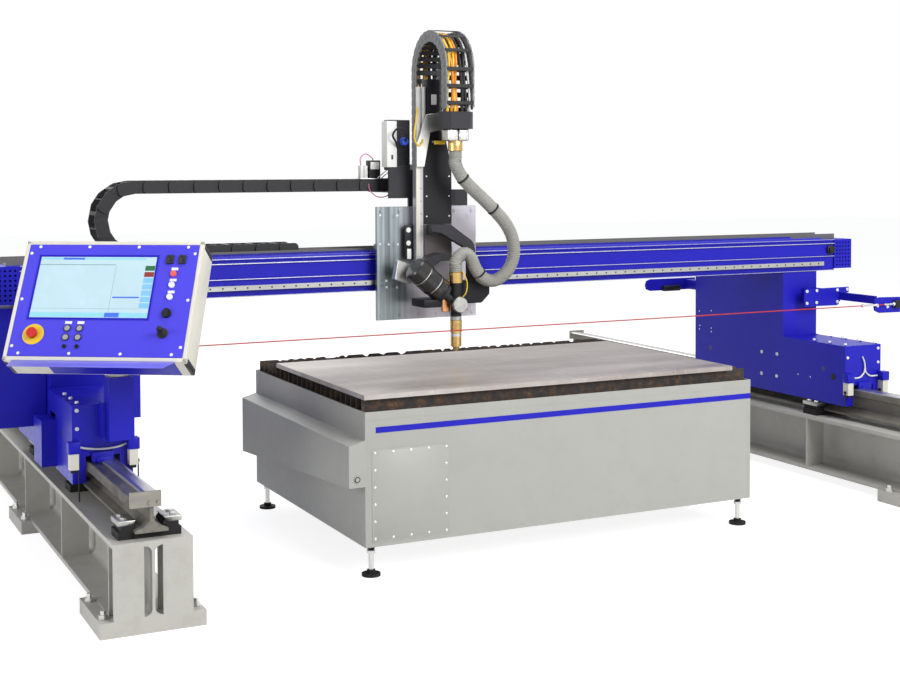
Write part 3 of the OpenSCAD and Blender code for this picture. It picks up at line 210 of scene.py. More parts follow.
def new_material(name):
    """A node material, with its tree and its shader."""
    material = bpy.data.materials.new(name)
    material.use_nodes = True
    tree = material.node_tree
    return material, tree, tree.nodes["Principled BSDF"]


def object_grain(tree, scale, stretch=(1, 1, 1), detail=5.0, rough=0.6):
    """Noise on the piece's own coordinates, in features per metre."""
    place = add_node(tree, "TexCoord").outputs["Object"]
    mapping = add_node(tree, "Mapping", Vector=place, Scale=stretch)
    grain = add_node(tree, "TexNoise", Vector=mapping.outputs["Vector"], Scale=scale, Detail=detail,
                     Roughness=rough)
    return grain.outputs["Fac"]


def along_axis(tree, axis):
    """A coordinate of the piece itself, in metres."""
    place = add_node(tree, "TexCoord").outputs["Object"]
    return add_node(tree, "SeparateXYZ", Vector=place).outputs[axis]


def ramp(tree, value, stops):
    """Colours along a value, as (position, colour) pairs."""
    node = add_node(tree, "ValToRGB", Fac=value)
    while len(node.color_ramp.elements) < len(stops):
        node.color_ramp.elements.new(0.5)
    for element, (position, colour) in zip(node.color_ramp.elements, stops):
        element.position = position
        element.color = (*colour, 1)
    return node.outputs["Color"]


def two_tone(tree, grain, colour, shade):
    """A colour that drifts into a darker shade of itself."""
    return ramp(tree, grain, [(0.3, tuple(c * shade for c in colour)), (0.7, colour)])


def spread(tree, value, to_low, to_high, from_low=0.3, from_high=0.7):
    """One range of a value laid over another, and held within it."""
    node = add_node(tree, "MapRange", Value=value, From_Min=from_low, From_Max=from_high,
                    To_Min=to_low, To_Max=to_high)
    return node.outputs["Result"]


def over(tree, share, under, top):
    """One colour laid over another by a share."""
    mix = add_node(tree, "Mix")
    mix.data_type = "RGBA"
    under, top = ((*c, 1) if isinstance(c, tuple) else c for c in (under, top))
    feed(tree, mix, Factor=share, A=under, B=top)
    return mix.outputs["Result"]


def dents(tree, shader, value, height, strength=0.4):
    """Fine relief from a grain, its height in metres."""
    bump = add_node(tree, "Bump", Strength=strength, Distance=height, Height=value)
    feed(tree, shader, Normal=bump.outputs["Normal"])


def paint(name, colour, shade=0.88, rough=(0.32, 0.46), peel=0.0002, grime=None, grime_share=0.25, shine=0.5):
    """Sprayed paint: slow drifts of tone, a fine orange peel and, where given, blotches of grime."""
    material, tree, shader = new_material(name)
    tone = two_tone(tree, object_grain(tree, 2.5), colour, shade)
    if grime:
        blot = spread(tree, object_grain(tree, 9, detail=8, rough=0.7), 0, grime_share, 0.5, 0.72)
        tone = over(tree, blot, tone, grime)
    feed(tree, shader, Base_Color=tone, Roughness=spread(tree, object_grain(tree, 30), *rough),
         Specular_IOR_Level=shine)
    dents(tree, shader, object_grain(tree, 420, detail=2), peel)
    return material


def metal(name, colour, shade=0.8, rough=(0.25, 0.4), along=(1, 1, 1), scale=60, rust=None, rust_share=0.5,
          bump=0.0001):
    """Bare metal with a grain drawn out along one way, and rust where given."""
    material, tree, shader = new_material(name)
    grain = object_grain(tree, scale, along, detail=6)
    tone = two_tone(tree, grain, colour, shade)
    shine, bare = spread(tree, grain, *rough), 1.0
    if rust:
        spots = spread(tree, object_grain(tree, 14, detail=9, rough=0.75), 0, rust_share, 0.48, 0.7)
        tone = over(tree, spots, tone, rust)
        bare = spread(tree, spots, 0.95, 0.25, 0, rust_share)
        shine = spread(tree, spots, rough[0], 0.8, 0, rust_share)
    feed(tree, shader, Base_Color=tone, Roughness=shine, Metallic=bare)
    dents(tree, shader, grain, bump)
    return material


def moulded(name, colour, rough=(0.4, 0.55), grain=900, bump=0.0001, shade=0.85, shine=0.5):
    """Plastic or rubber with a fine moulded grain."""
    material, tree, shader = new_material(name)
    feed(tree, shader, Base_Color=two_tone(tree, object_grain(tree, 12), colour, shade),
         Roughness=spread(tree, object_grain(tree, 60), *rough), Specular_IOR_Level=shine)
    dents(tree, shader, object_grain(tree, grain, detail=2), bump)
    return material


def burnt_steel():
    """Cutting slats: soot and scale with blotches of orange rust and pale spatter."""
    material, tree, shader = new_material("burnt_steel")
    soot = object_grain(tree, 26, detail=9, rough=0.7)
    tone = ramp(tree, soot, [(0.32, (0.012, 0.011, 0.011)), (0.5, (0.04, 0.032, 0.028)),
                             (0.62, (0.105, 0.055, 0.03)), (0.78, (0.22, 0.19, 0.17))])
    feed(tree, shader, Base_Color=tone, Roughness=spread(tree, soot, 0.6, 0.9), Metallic=0.25)
    dents(tree, shader, object_grain(tree, 180, detail=6), 0.0015, 0.8)
    return material


def mill_scale():
    """Rolled sheet: brown-grey scale in long drifts along the sheet, with pale scuffs."""
    material, tree, shader = new_material("mill_scale")
    drift = object_grain(tree, 3.2, (0.5, 2.2, 1), detail=8, rough=0.66)
    tone = ramp(tree, drift, [(0.3, (0.22, 0.185, 0.165)), (0.48, (0.34, 0.3, 0.275)),
                              (0.72, (0.47, 0.44, 0.42))])
    scuff = spread(tree, object_grain(tree, 5, (12, 0.6, 1), detail=8, rough=0.7), 0, 0.4, 0.56, 0.7)
    tone = over(tree, scuff, tone, (0.6, 0.59, 0.57))
    feed(tree, shader, Base_Color=tone, Roughness=spread(tree, drift, 0.34, 0.52), Metallic=0.55)
    dents(tree, shader, object_grain(tree, 160, detail=5), 0.0003)
    return material


def rail_steel():
    """A rolled rail: dark sides with rust, and a running top rubbed bright."""
    material, tree, shader = new_material("rail_steel")
    top = high("track_rails").z * MM
    rubbed = spread(tree, along_axis(tree, "Z"), 0, 1, top - 9 * MM, top - 3 * MM)
    grain = object_grain(tree, 22, (1, 0.25, 1), detail=8, rough=0.7)
    side = ramp(tree, grain, [(0.3, (0.105, 0.098, 0.085)), (0.55, (0.175, 0.165, 0.14)),
                              (0.75, (0.25, 0.22, 0.18))])
    bright = ramp(tree, grain, [(0.3, (0.42, 0.42, 0.42)), (0.7, (0.6, 0.6, 0.6))])
    feed(tree, shader, Base_Color=over(tree, rubbed, side, bright),
         Roughness=spread(tree, rubbed, 0.62, 0.28, 0, 1), Metallic=spread(tree, rubbed, 0.35, 1.0, 0, 1))
    dents(tree, shader, object_grain(tree, 240, detail=4), 0.0004)
    return material


def split_finish(material, axis, start, end, colour, rough):
    """Lays a second colour over a finish, from one distance to another from the middle along an axis."""
    tree = material.node_tree
    shader = tree.nodes["Principled BSDF"]
    distance = maths(tree, "ABSOLUTE", along_axis(tree, axis))
    share = spread(tree, distance, 0, 1, start * MM, end * MM)
    for name, value in (("Base Color", colour), ("Roughness", (rough,) * 3), ("Metallic", (0, 0, 0))):
        socket = shader.inputs[name]
        base = socket.links[0].from_socket if socket.links else (socket.default_value,) * 3
        tree.links.new(over(tree, share, base, value), socket)


def glow(name, colour, light=0.25):
    """A lit screen or lamp lens under glass, with a faint smear in the gloss."""
    material, tree, shader = new_material(name)
    smear = object_grain(tree, 8, detail=6)
    feed(tree, shader, Base_Color=two_tone(tree, smear, colour, 0.9),
         Roughness=spread(tree, smear, 0.16, 0.3), Emission_Color=(*colour, 1), Emission_Strength=light)
    return material


BLUE = (0.0124, 0.0112, 0.4)
blue_paint = paint("blue_paint", BLUE, 0.9, (0.3, 0.42), grime=(0.01, 0.01, 0.25), shine=0.2)
panel_paint = paint("panel_paint", (0.068, 0.056, 0.63), 0.92, (0.28, 0.4), shine=0.25)
# A lighter, paler blue for the shelf's upward face, whose fold keeps the plain blue: painted light
lit_shelf_paint = paint("lit_shelf_paint", (0.16, 0.15, 0.7), 0.92, (0.3, 0.4), shine=0.3)
beam_paint = paint("beam_paint", (0.43, 0.42, 0.385), 0.92, (0.42, 0.58),
                   grime=(0.27, 0.25, 0.22), grime_share=0.4)
casing_paint = paint("casing_paint", (0.334, 0.334, 0.306), 0.95, (0.38, 0.5),
                     grime=(0.25, 0.25, 0.228), grime_share=0.2)
cream_paint = paint("cream_paint", (0.62, 0.6, 0.52), 0.94, (0.35, 0.48),
                    grime=(0.42, 0.4, 0.34), grime_share=0.15)
white_paint = paint("white_paint", (0.72, 0.72, 0.7), 0.95, (0.35, 0.5))
black_paint = paint("black_paint", (0.012, 0.012, 0.015), 0.7, (0.34, 0.5), shine=0.2)
gloss_black = paint("gloss_black", (0.01, 0.01, 0.011), 0.8, (0.14, 0.22), peel=0.00005, shine=0.6)
bronze_paint = paint("bronze_paint", (0.085, 0.073, 0.07), 0.85, (0.34, 0.46), shine=0.35)
dark_paint = paint("dark_paint", (0.026, 0.025, 0.03), 0.7, (0.4, 0.56), shine=0.25)
tray_paint = paint("tray_paint", (0.13, 0.128, 0.13), 0.85, (0.4, 0.55), shine=0.3)
milled_aluminium = metal("milled_aluminium", (0.3, 0.345, 0.36), 0.4, (0.3, 0.42), (1, 1, 0.02), 48,
                         bump=0.00003)
# Lighter lilac over the plate nearer than 500 mm to the machine's middle, full within 380 mm: a painted
# reflection
split_finish(milled_aluminium, "X", 500, 380, (0.52, 0.5, 0.55), 0.35)
bright_steel = metal("bright_steel", (0.66, 0.66, 0.67), 0.85, (0.24, 0.34), scale=70, bump=0.00003)
zinc = metal("zinc", (0.66, 0.66, 0.64), 0.85, (0.3, 0.42), scale=120, bump=0.00003)
guide_steel = metal("guide_steel", (0.5, 0.5, 0.49), 0.86, (0.22, 0.3), (0.05, 1, 1), bump=0.00002)
split_finish(guide_steel, "Z", 1290, 1294, BLUE, 0.4)
wheel_steel = metal("wheel_steel", (0.6, 0.6, 0.6), 0.85, bump=0.00003)
# Black on the wheels' outer axle ends: painted shade standing for a dark hole in the housing
split_finish(wheel_steel, "X", 2085, 2090, (0.015, 0.015, 0.016), 0.5)
split_finish(wheel_steel, "X", 1965, 1960, (0.012, 0.011, 0.12), 0.4)
rack_steel = metal("rack_steel", (0.17, 0.165, 0.16), 0.7, (0.4, 0.55), (1, 0.3, 1), 40, (0.12, 0.07, 0.04))
plate_steel = metal("plate_steel", (0.3, 0.285, 0.25), 0.8, (0.4, 0.52), (0.2, 1, 1), 30, (0.2, 0.16, 0.12),
                    0.3)
cast_steel = metal("cast_steel", (0.45, 0.45, 0.43), 0.7, (0.36, 0.5), scale=50, bump=0.0003)
turned_brass = metal("turned_brass", (0.68, 0.46, 0.17), 0.78, (0.2, 0.34), (1, 1, 12))
copper = metal("copper", (0.72, 0.36, 0.16), 0.75, (0.24, 0.4), (1, 1, 8))
chain_plastic = moulded("chain_plastic", (0.02, 0.02, 0.022), (0.42, 0.58), shine=0.25)
grey_chain_plastic = moulded("grey_chain_plastic", (0.2, 0.2, 0.2), shine=0.35)
black_plastic = moulded("black_plastic", (0.012, 0.012, 0.013), (0.34, 0.5), shine=0.25)
grey_plastic = moulded("grey_plastic", (0.3, 0.3, 0.3), (0.36, 0.5))
white_plastic = moulded("white_plastic", (0.75, 0.75, 0.73), (0.3, 0.45))
red_plastic = moulded("red_plastic", (0.52, 0.012, 0.01), (0.24, 0.36))
yellow_plastic = moulded("yellow_plastic", (0.75, 0.5, 0.02), (0.3, 0.45))
orange_plastic = moulded("orange_plastic", (0.72, 0.24, 0.02), (0.3, 0.45))
pink_plastic = moulded("pink_plastic", (0.6, 0.12, 0.3), (0.3, 0.45))
wire_blue = moulded("wire_blue", (0.02, 0.08, 0.5), (0.3, 0.45))
wire_white = moulded("wire_white", (0.6, 0.6, 0.58), (0.3, 0.45))
red_sheath = moulded("red_sheath", (0.44, 0.012, 0.012), (0.36, 0.5))
grey_hose = moulded("grey_hose", (0.29, 0.288, 0.262), (0.5, 0.66), 500, 0.0002)
black_rubber = moulded("black_rubber", (0.014, 0.014, 0.014), (0.6, 0.8), 300, 0.0004, shine=0.25)
screen_pale = glow("screen_pale", (0.38, 0.52, 0.58))
screen_sky = glow("screen_sky", (0.22, 0.5, 0.82))
screen_azure = glow("screen_azure", (0.16, 0.4, 0.85))
screen_deep = glow("screen_deep", (0.04, 0.12, 0.6))
screen_line = glow("screen_line", (0.2, 0.3, 0.32))
screen_green = glow("screen_green", (0.01, 0.1, 0.03))
screen_red = glow("screen_red", (0.2, 0.02, 0.015))
lamp_white = glow("lamp_white", (0.8, 0.85, 0.85), 0.1)
lamp_red = glow("lamp_red", (0.75, 0.1, 0.06), 0.1)
burnt = burnt_steel()
scale_sheet = mill_scale()
rail_finish = rail_steel()

NODE_FINISH = {
    beam_paint: "track_beams track_feet",
    rail_finish: "track_rails",
    rack_steel: "track_racks left_drive_pinion right_drive_pinion cross_pinion",
    black_rubber: "rail_clips table_feet",
    casing_paint: "table_casing extraction_duct",
    plate_steel: "end_stops",
    burnt: "slats slat_combs",
    scale_sheet: "work_plate",
    blue_paint: "cross_beam beam_end_covers gantry_columns drive_housings drive_motors control_cabinet "
                "cord_arms panel_post",
    panel_paint: "panel_face",
    guide_steel: "cross_rails",
    tray_paint: "chain_tray",
    dark_paint: "head_arm cable_gland carriage_boxes",
    chain_plastic: "cross_chain_lower cross_chain_upper cross_chain_bend",
    grey_chain_plastic: "lift_chain",
    red_sheath: "trip_cord",
    wheel_steel: "left_front_wheel left_rear_wheel right_front_wheel right_rear_wheel",
    black_plastic: "left_outer_feeler left_inner_feeler right_outer_feeler right_inner_feeler "
                   "joystick mode_knob left_toggle right_toggle",
    milled_aluminium: "carriage_plate lift_beam",
    black_paint: "lift_cover bevel_drive",
    grey_hose: "torch_hose",
    turned_brass: "torch_body torch_nozzle",
    cream_paint: "panel_case limit_switches",
    grey_plastic: "upper_left_button upper_right_button lower_left_button lower_right_button",
    red_plastic: "emergency_stop",
}


def finish_nodes():
    """Gives each CAD node its finish."""
    for material, names in NODE_FINISH.items():
        for name in names.split():
            mesh = nodes[name].data
            mesh.materials.clear()
            mesh.materials.append(material)


finish_nodes()

# Modelling

ALIGNED, MAIN_SHARE, INSET_WALL = 0.99, 0.9, 0.5
WELD = 0.00001
BLOCK_ANGLE, TURNED_ANGLE, TUBE_ANGLE = 30, 35, 60


def lone(piece):
    """Only this piece is selected and active."""
    bpy.ops.object.select_all(action="DESELECT")
    piece.select_set(True)
    bpy.context.view_layer.objects.active = piece


def edit(piece):
    """Edit mode on this piece, with its whole mesh selected."""
    lone(piece)
    bpy.ops.object.mode_set(mode="EDIT")
    bpy.ops.mesh.select_all(action="SELECT")


def leave_edit():
    """Back to object mode."""
    bpy.ops.object.mode_set(mode="OBJECT")


def settle(piece):
    """The piece's place, turn and scale go into its mesh."""
    lone(piece)
    bpy.ops.object.transform_apply(location=True, rotation=True, scale=True)
    return piece


def smooth(piece, angle):
    """Shades the piece smooth, with edges sharper than the angle left hard."""
    lone(piece)
    bpy.ops.object.shade_smooth_by_angle(angle=radians(angle))
    return piece


def wear(piece, material, body):
    """Gives a finished piece its material and the body it rides on."""
    piece.data.materials.clear()
    piece.data.materials.append(material)
    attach(piece, body)
    return piece


def block(name, corner, size, edge=2.0, segments=2):
    """A box from its low corner, with its edges broken; sizes in millimetres."""
    bpy.ops.object.select_all(action="DESELECT")
    middle = Vector(corner) + Vector(size) / 2
    bpy.ops.mesh.primitive_cube_add(size=1, location=middle * MM, scale=Vector(size) * MM)
    piece = settle(bpy.context.object)
    piece.name = name
    if edge:
        edit(piece)
        bpy.ops.mesh.bevel(offset=edge * MM, segments=segments, affect="EDGES")
        leave_edit()
    return smooth(piece, BLOCK_ANGLE)


def sink(piece, normal, rim, depth):
    """Insets the main face on one side and pushes it in; a negative depth raises it."""
    edit(piece)
    bpy.ops.mesh.select_mode(type="FACE")
    bpy.ops.mesh.select_all(action="DESELECT")
    leave_edit()
    side = [f for f in piece.data.polygons if f.normal.dot(Vector(normal)) > ALIGNED]
    area = max(f.area for f in side)
    for face in side:
        face.select = face.area > MAIN_SHARE * area
    bpy.ops.object.mode_set(mode="EDIT")
    bpy.ops.mesh.inset(thickness=rim * MM, depth=0)
    bpy.ops.mesh.inset(thickness=INSET_WALL * MM, depth=-depth * MM)
    leave_edit()
    return piece


def cut(piece, point, normal):
    """Planes the piece off on the normal's side of a point."""
    edit(piece)
    bpy.ops.mesh.bisect(plane_co=Vector(point) * MM, plane_no=normal, use_fill=True, clear_outer=True)
    leave_edit()
    return piece


def facing(place, axis):
    """A matrix that stands a model's Z axis along an axis, at a place in millimetres."""
    return Matrix.Translation(Vector(place) * MM) @ Vector(axis).to_track_quat("Z", "Y").to_matrix().to_4x4()


def turned(name, foot, axis, steps, sides=32, hollow=False):
    """A turned piece: (radius, height) steps raised along an axis from a disc, or from an open circle."""
    bpy.ops.object.select_all(action="DESELECT")
    radius, height = steps[0]
    bpy.ops.mesh.primitive_circle_add(vertices=sides, radius=radius * MM, location=(0, 0, height * MM),
                                      fill_type="NOTHING" if hollow else "NGON")
    piece = settle(bpy.context.object)
    piece.name = name
    bpy.ops.object.mode_set(mode="EDIT")
    if hollow:
        bpy.ops.mesh.select_mode(type="VERT")
    bpy.ops.mesh.select_all(action="SELECT")
    for (radius, height), (next_radius, next_height) in zip(steps, steps[1:]):
        bpy.ops.mesh.extrude_region_move(
            TRANSFORM_OT_translate={"value": (0, 0, (next_height - height) * MM)})
        grow = next_radius / radius
        bpy.ops.transform.resize(value=(grow, grow, 1))
    bpy.ops.mesh.select_all(action="SELECT")
    if hollow:
        bpy.ops.mesh.remove_doubles(threshold=WELD)
    bpy.ops.mesh.normals_make_consistent(inside=False)
    leave_edit()
    piece.matrix_world = facing(foot, axis)
    settle(piece)
    return smooth(piece, TURNED_ANGLE)


def ring(name, foot, axis, outline, sides=32):
    """A turned ring: a closed (radius, height) outline carried round an axis."""
    return turned(name, foot, axis, outline + outline[:1], sides, hollow=True)


def bar(name, start, end, radius):
    """A round bar between two points, with broken rims."""
    way = Vector(end) - Vector(start)
    run = way.length
    return turned(name, start, way, [(radius - 1, 0), (radius, 1), (radius, run - 1), (radius - 1, run)], 20)


def plate(name, outline, near, deep, edge=1.0):
    """A flat plate: an outline given across and up, drawn back from its near face, in millimetres."""
    bpy.ops.object.select_all(action="DESELECT")
    bpy.ops.mesh.primitive_circle_add(vertices=len(outline), radius=1, fill_type="NGON")
    piece = bpy.context.object
    piece.name = name
    for vertex, (x, z) in zip(piece.data.vertices, outline):
        vertex.co = mm(x, near, z)
    edit(piece)
    bpy.ops.mesh.extrude_region_move(TRANSFORM_OT_translate={"value": (0, deep * MM, 0)})
    bpy.ops.mesh.select_all(action="SELECT")
    bpy.ops.mesh.normals_make_consistent(inside=False)
    bpy.ops.mesh.bevel(offset=edge * MM, segments=1, affect="EDGES")
    leave_edit()
    return smooth(piece, BLOCK_ANGLE)


def grid(columns, rows):
    """A flat grid of one unit, to be bent into a sheet."""
    bpy.ops.object.select_all(action="DESELECT")
    bpy.ops.mesh.primitive_grid_add(x_subdivisions=columns, y_subdivisions=rows, size=1)
    return bpy.context.object


def thicken(sheet, thickness):
    """Gives a sheet its thickness in millimetres, half to each side."""
    modifier = sheet.modifiers.new("thickness", "SOLIDIFY")
    modifier.thickness = thickness * MM
    modifier.offset = 0
    lone(sheet)
    bpy.ops.object.modifier_apply(modifier=modifier.name)
    return sheet


def joined(name, pieces):
    """Several pieces of one finish made one."""
    lone(pieces[0])
    for piece in pieces:
        piece.select_set(True)
    if len(pieces) > 1:
        bpy.ops.object.join()
    pieces[0].name = name
    return settle(pieces[0])


def copies(name, model, places):
    """The model, made at the origin, repeated at places given in millimetres or as matrices."""
    row = []
    for place in places:
        twin = model.copy()
        twin.data = model.data.copy()
        if not isinstance(place, Matrix):
            place = Matrix.Translation(Vector(place) * MM)
        placed(twin).matrix_world = place
        row.append(twin)
    bpy.data.objects.remove(model)
    return joined(name, row)


def screw_head(radius, rise):
    """A cap screw's head standing on the origin, with a socket in its top."""
    steps = [(radius, 0), (radius, rise * 0.75), (radius * 0.82, rise), (radius * 0.5, rise),
             (radius * 0.48, rise * 0.4)]
    return turned("screw", ORIGIN, Z, steps, 12)


def nut(radius, rise):
    """A hexagon nut or bolt head standing on the origin, with its corners rounded off."""
    return turned("nut", ORIGIN, Z, [(radius, 0), (radius, rise * 0.8), (radius * 0.86, rise)], 6)


def dot(radius):
    """A flat disc on the origin that reads as a hole or a sunk screw."""
    return turned("dot", ORIGIN, Z, [(radius, 0), (radius, 0.4), (radius * 0.8, 0.6)], 12)


def screws(name, places, axis, model, material, body):
    """A screw, nut or dot repeated at places, all facing one way."""
    return wear(copies(name, model, [facing(p, axis) for p in places]), material, body)


def route(points, steps=6):
    """A smooth line through points, by Catmull-Rom steps, in metres."""
    p = [Vector(q) * MM for q in points]
    ends = [p[0] * 2 - p[1], *p, p[-1] * 2 - p[-2]]
    line = []
    for i in range(len(p) - 1):
        a, b, c, d = ends[i:i + 4]
        for k in range(steps):
            t = k / steps
            line.append(0.5 * (2 * b + (c - a) * t + (2 * a - 5 * b + 4 * c - d) * t * t
                               + (3 * b - a - 3 * c + d) * t ** 3))
    return line + [p[-1]]


def run_length(line):
    """The length of a line of points."""
    return sum((b - a).length for a, b in zip(line, line[1:]))


def even_points(line, count):
    """Evenly spaced points along a line, with the way it runs at each."""
    total = run_length(line)
    found, walked, i = [], 0.0, 0
    for k in range(count):
        target = total * k / (count - 1)
        while i < len(line) - 2 and walked + (line[i + 1] - line[i]).length < target:
            walked += (line[i + 1] - line[i]).length
            i += 1
        step = line[i + 1] - line[i]
        found.append(line[i] + step * ((target - walked) / step.length))
    ways = [(found[min(k + 1, count - 1)] - found[max(k - 1, 0)]).normalized() for k in range(count)]
    return found, ways


def tube(name, line, radii, sides):
    """A closed tube skinned over rings of points set evenly along a line, each ring with its radius."""
    points, ways = even_points(line, len(radii))
    verts, faces = [], []
    side = Y.copy()
    for point, way, radius in zip(points, ways, radii):
        side = (side - way * side.dot(way)).normalized()
        up = way.cross(side)
        verts += [point + (side * cos(2 * pi * j / sides) + up * sin(2 * pi * j / sides)) * radius
                  for j in range(sides)]
    for i in range(len(radii) - 1):
        for j in range(sides):
            k = (j + 1) % sides
            faces.append((i * sides + j, i * sides + k, (i + 1) * sides + k, (i + 1) * sides + j))
    faces += [tuple(range(sides))[::-1], tuple(range((len(radii) - 1) * sides, len(radii) * sides))]
    mesh = bpy.data.meshes.new(name)
    mesh.from_pydata(verts, [], faces)
    piece = placed(bpy.data.objects.new(name, mesh))
    edit(piece)
    bpy.ops.mesh.normals_make_consistent(inside=False)
    leave_edit()
    return smooth(piece, TUBE_ANGLE)


def cable(name, points, diameter, material, body):
    """A round cable as a curve along a smooth route."""
    line = route(points)
    data = bpy.data.curves.new(name, "CURVE")
    data.dimensions = "3D"
    data.bevel_depth = diameter / 2 * MM
    data.bevel_resolution = 3
    data.use_fill_caps = True
    spline = data.splines.new("POLY")
    spline.points.add(len(line) - 1)
    for point, place in zip(spline.points, line):
        point.co = (*place, 1)
    piece = placed(bpy.data.objects.new(name, data))
    data.materials.append(material)
    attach(piece, body)
    return piece


# Cords

HOSE_DIAMETER, HOSE_FORWARD, HOSE_SIDES = 64, 10, 24
HOSE_RIB, HOSE_RIBS, RIB_STEPS = 3, 130, 4
HOSE_CORD_POINTS = 40
HOSE_ROUTE = [
    (-293, 1798.7), (-293, 1768), (-293, 1736), (-262, 1676), (-208, 1620), (-146, 1566), (-84, 1509),
    (-28, 1450), (8, 1388), (22, 1325), (14, 1262), (-22, 1204), (-84, 1168), (-146, 1180), (-188, 1228),
    (-212, 1280), (-243, 1304), (-276, 1290), (-293, 1262), (-293, 1240), (-293, 1216.3),
]


def hose():
    """The ribbed torch hose, which hangs a little forward in the middle of its run."""
    head_y = (low("torch_nozzle").y + high("torch_nozzle").y) / 2
    flat = route([(x, head_y, z) for x, z in HOSE_ROUTE], 8)
    total = run_length(flat)
    walked, line = 0.0, []
    for i, point in enumerate(flat):
        walked += (point - flat[i - 1]).length if i else 0
        line.append(point - Y * HOSE_FORWARD * MM * sin(pi * walked / total))
    outer = HOSE_DIAMETER / 2 * MM
    radii = [outer - HOSE_RIB * MM * (0.5 + 0.5 * cos(2 * pi * k / RIB_STEPS))
             for k in range(HOSE_RIBS * RIB_STEPS + 1)]
    piece = tube("ribbed_hose", line, radii, HOSE_SIDES)
    piece.data.materials.append(grey_hose)
    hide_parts("torch_hose")
    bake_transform(piece)
    points, _ = even_points(line, HOSE_CORD_POINTS)


hose()

# Trip cord

CORD_PLACE = (-1003, 947)
CORD_DIAMETER, CORD_STEPS = 6, 16
SWITCH_W, EYE_L, BUCKLE_L, BUCKLE_GAP = 84, 22, 120, 90


def on_cord(name, x, steps, sides):
    """A turned piece on the trip cord's line."""
    return turned(name, (x, *CORD_PLACE), X, steps, sides)


def trip_cord():
    """A red steel rope held taut from the left anchor to the pull switch on the right arm."""
    lo, hi = low("trip_cord"), high("trip_cord")
    switch_x = hi.x - SWITCH_W
    end = switch_x - EYE_L
    points = [(lo.x + (end - lo.x) * k / CORD_STEPS, *CORD_PLACE) for k in range(CORD_STEPS + 1)]
    rope = cable("trip_rope", points, CORD_DIAMETER, red_sheath, "gantry")
    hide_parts("trip_cord")
    steps = [(4, 0), (8.5, 3), (8.5, 14), (5.5, 22), (5.5, 98), (8.5, 106), (8.5, 117), (4, BUCKLE_L)]
    buckle = wear(on_cord("turnbuckle", end - BUCKLE_GAP - BUCKLE_L, steps, 20), bright_steel, "gantry")
    shackle = joined("rope_eye", [
        on_cord("ferrule", end - 44, [(4, 0), (5.5, 2), (5.5, 26), (4, 28)], 16),
        on_cord("eye_shank", end - 18, [(3, 0), (4.5, 2), (4.5, EYE_L + 17)], 16),
        on_cord("eye_ball", end - 6, [(2, 0), (6, 3), (7, 7), (6, 11), (2, 14)], 16),
    ])
    wear(shackle, bright_steel, "gantry")
    size = (SWITCH_W - 6, hi.y - lo.y, hi.z - lo.z)
    switch = sink(block("pull_switch", (switch_x + 6, lo.y, lo.z), size, 4, 3), -Y, 5, 1)
    wear(switch, black_plastic, "gantry")
    nose = on_cord("switch_nose", switch_x - 6, [(7, 0), (10, 2), (12, 8), (12, 14)], 24)
    wear(nose, bright_steel, "gantry")
    place = (switch_x + 50, lo.y + 3, CORD_PLACE[1] + 4)
    wear(turned("reset_button", place, -Y, [(8, 0), (8, 2.4), (7, 3)], 24), wire_blue, "gantry")


trip_cord()

# Operator panel

PANEL_PLACE = (-2073, -1300, 1195)
PANEL_YAW, PANEL_TILT = radians(-32.7), radians(30.8)
PANEL = Matrix.Translation(mm(*PANEL_PLACE)) @ Matrix.Rotation(PANEL_YAW, 4, "Z") \
    @ Matrix.Rotation(pi / 2 - PANEL_TILT, 4, "X")
FACE_W, FACE_H, FACE_T, CASE_D, CASE_EDGE, RIM_D = 714, 496, 4, 145, 18, 12
POST_PLACE, FOOT_Z = (-1998, -1200), 870.4
SHELF_W, SHELF_D = 664, 160
SCREEN, SCREEN_BAR = (-299, -81, 488, 273), 8
LAMP_DOME = [(12.4, -6.6), (12.4, 1), (11, 3.4), (7, 4.6)]


def on_panel(piece, material):
    """Sets a piece that was modelled flat, X across and Y up the face, on the panel."""
    piece.matrix_world = PANEL @ piece.matrix_world
    return wear(settle(piece), material, "panel")


def panel_screen():
    """The lit screen in its frame, with blank tiles and lines for what it shows."""
    left, bottom, wide, tall = SCREEN
    top, side = bottom + tall, left + wide - 42
    on_panel(block("screen", (left, bottom, 0.2), (wide, tall, 1), 0.4, 1), screen_pale)
    outer_left, outer_wide = left - SCREEN_BAR, wide + 2 * SCREEN_BAR
    bars = [block("bar", (outer_left, y, 1.4), (outer_wide, SCREEN_BAR, 1.6), 0.5, 1)
            for y in (bottom - SCREEN_BAR, top)]
    bars += [block("bar", (x, bottom, 1.4), (SCREEN_BAR, tall, 1.6), 0.5, 1)
             for x in (outer_left, left + wide)]
    on_panel(joined("screen_frame", bars), blue_paint)
    tiles = {screen_sky: [(left, top - 13, wide - 44, 9), (left, bottom + 3, wide, 20)],
             screen_deep: [(left + 95, top - 13, 90, 9), (left + 310, bottom + 3, 60, 20),
                           (left + 330, bottom + 88, 110, 6)],
             screen_line: [(left, top - 38, 320, 4), (left + 322, bottom + 24, 1.5, tall - 62),
                           (left, bottom + 40, wide - 44, 1.2)],
             screen_green: [(side, top - 62, 40, 22)],
             screen_red: [(side, top - 90, 40, 22)],
             screen_azure: [(side, top - 118 - 28 * k, 40, 23) for k in range(5)]}
    for material, spots in tiles.items():
        rise = 0.5 if material is screen_deep else 0.3
        pieces = [block("tile", (x, y, 1.2), (w, h, rise), 0) for x, y, w, h in spots]
        on_panel(joined("tiles_" + material.name, pieces), material)


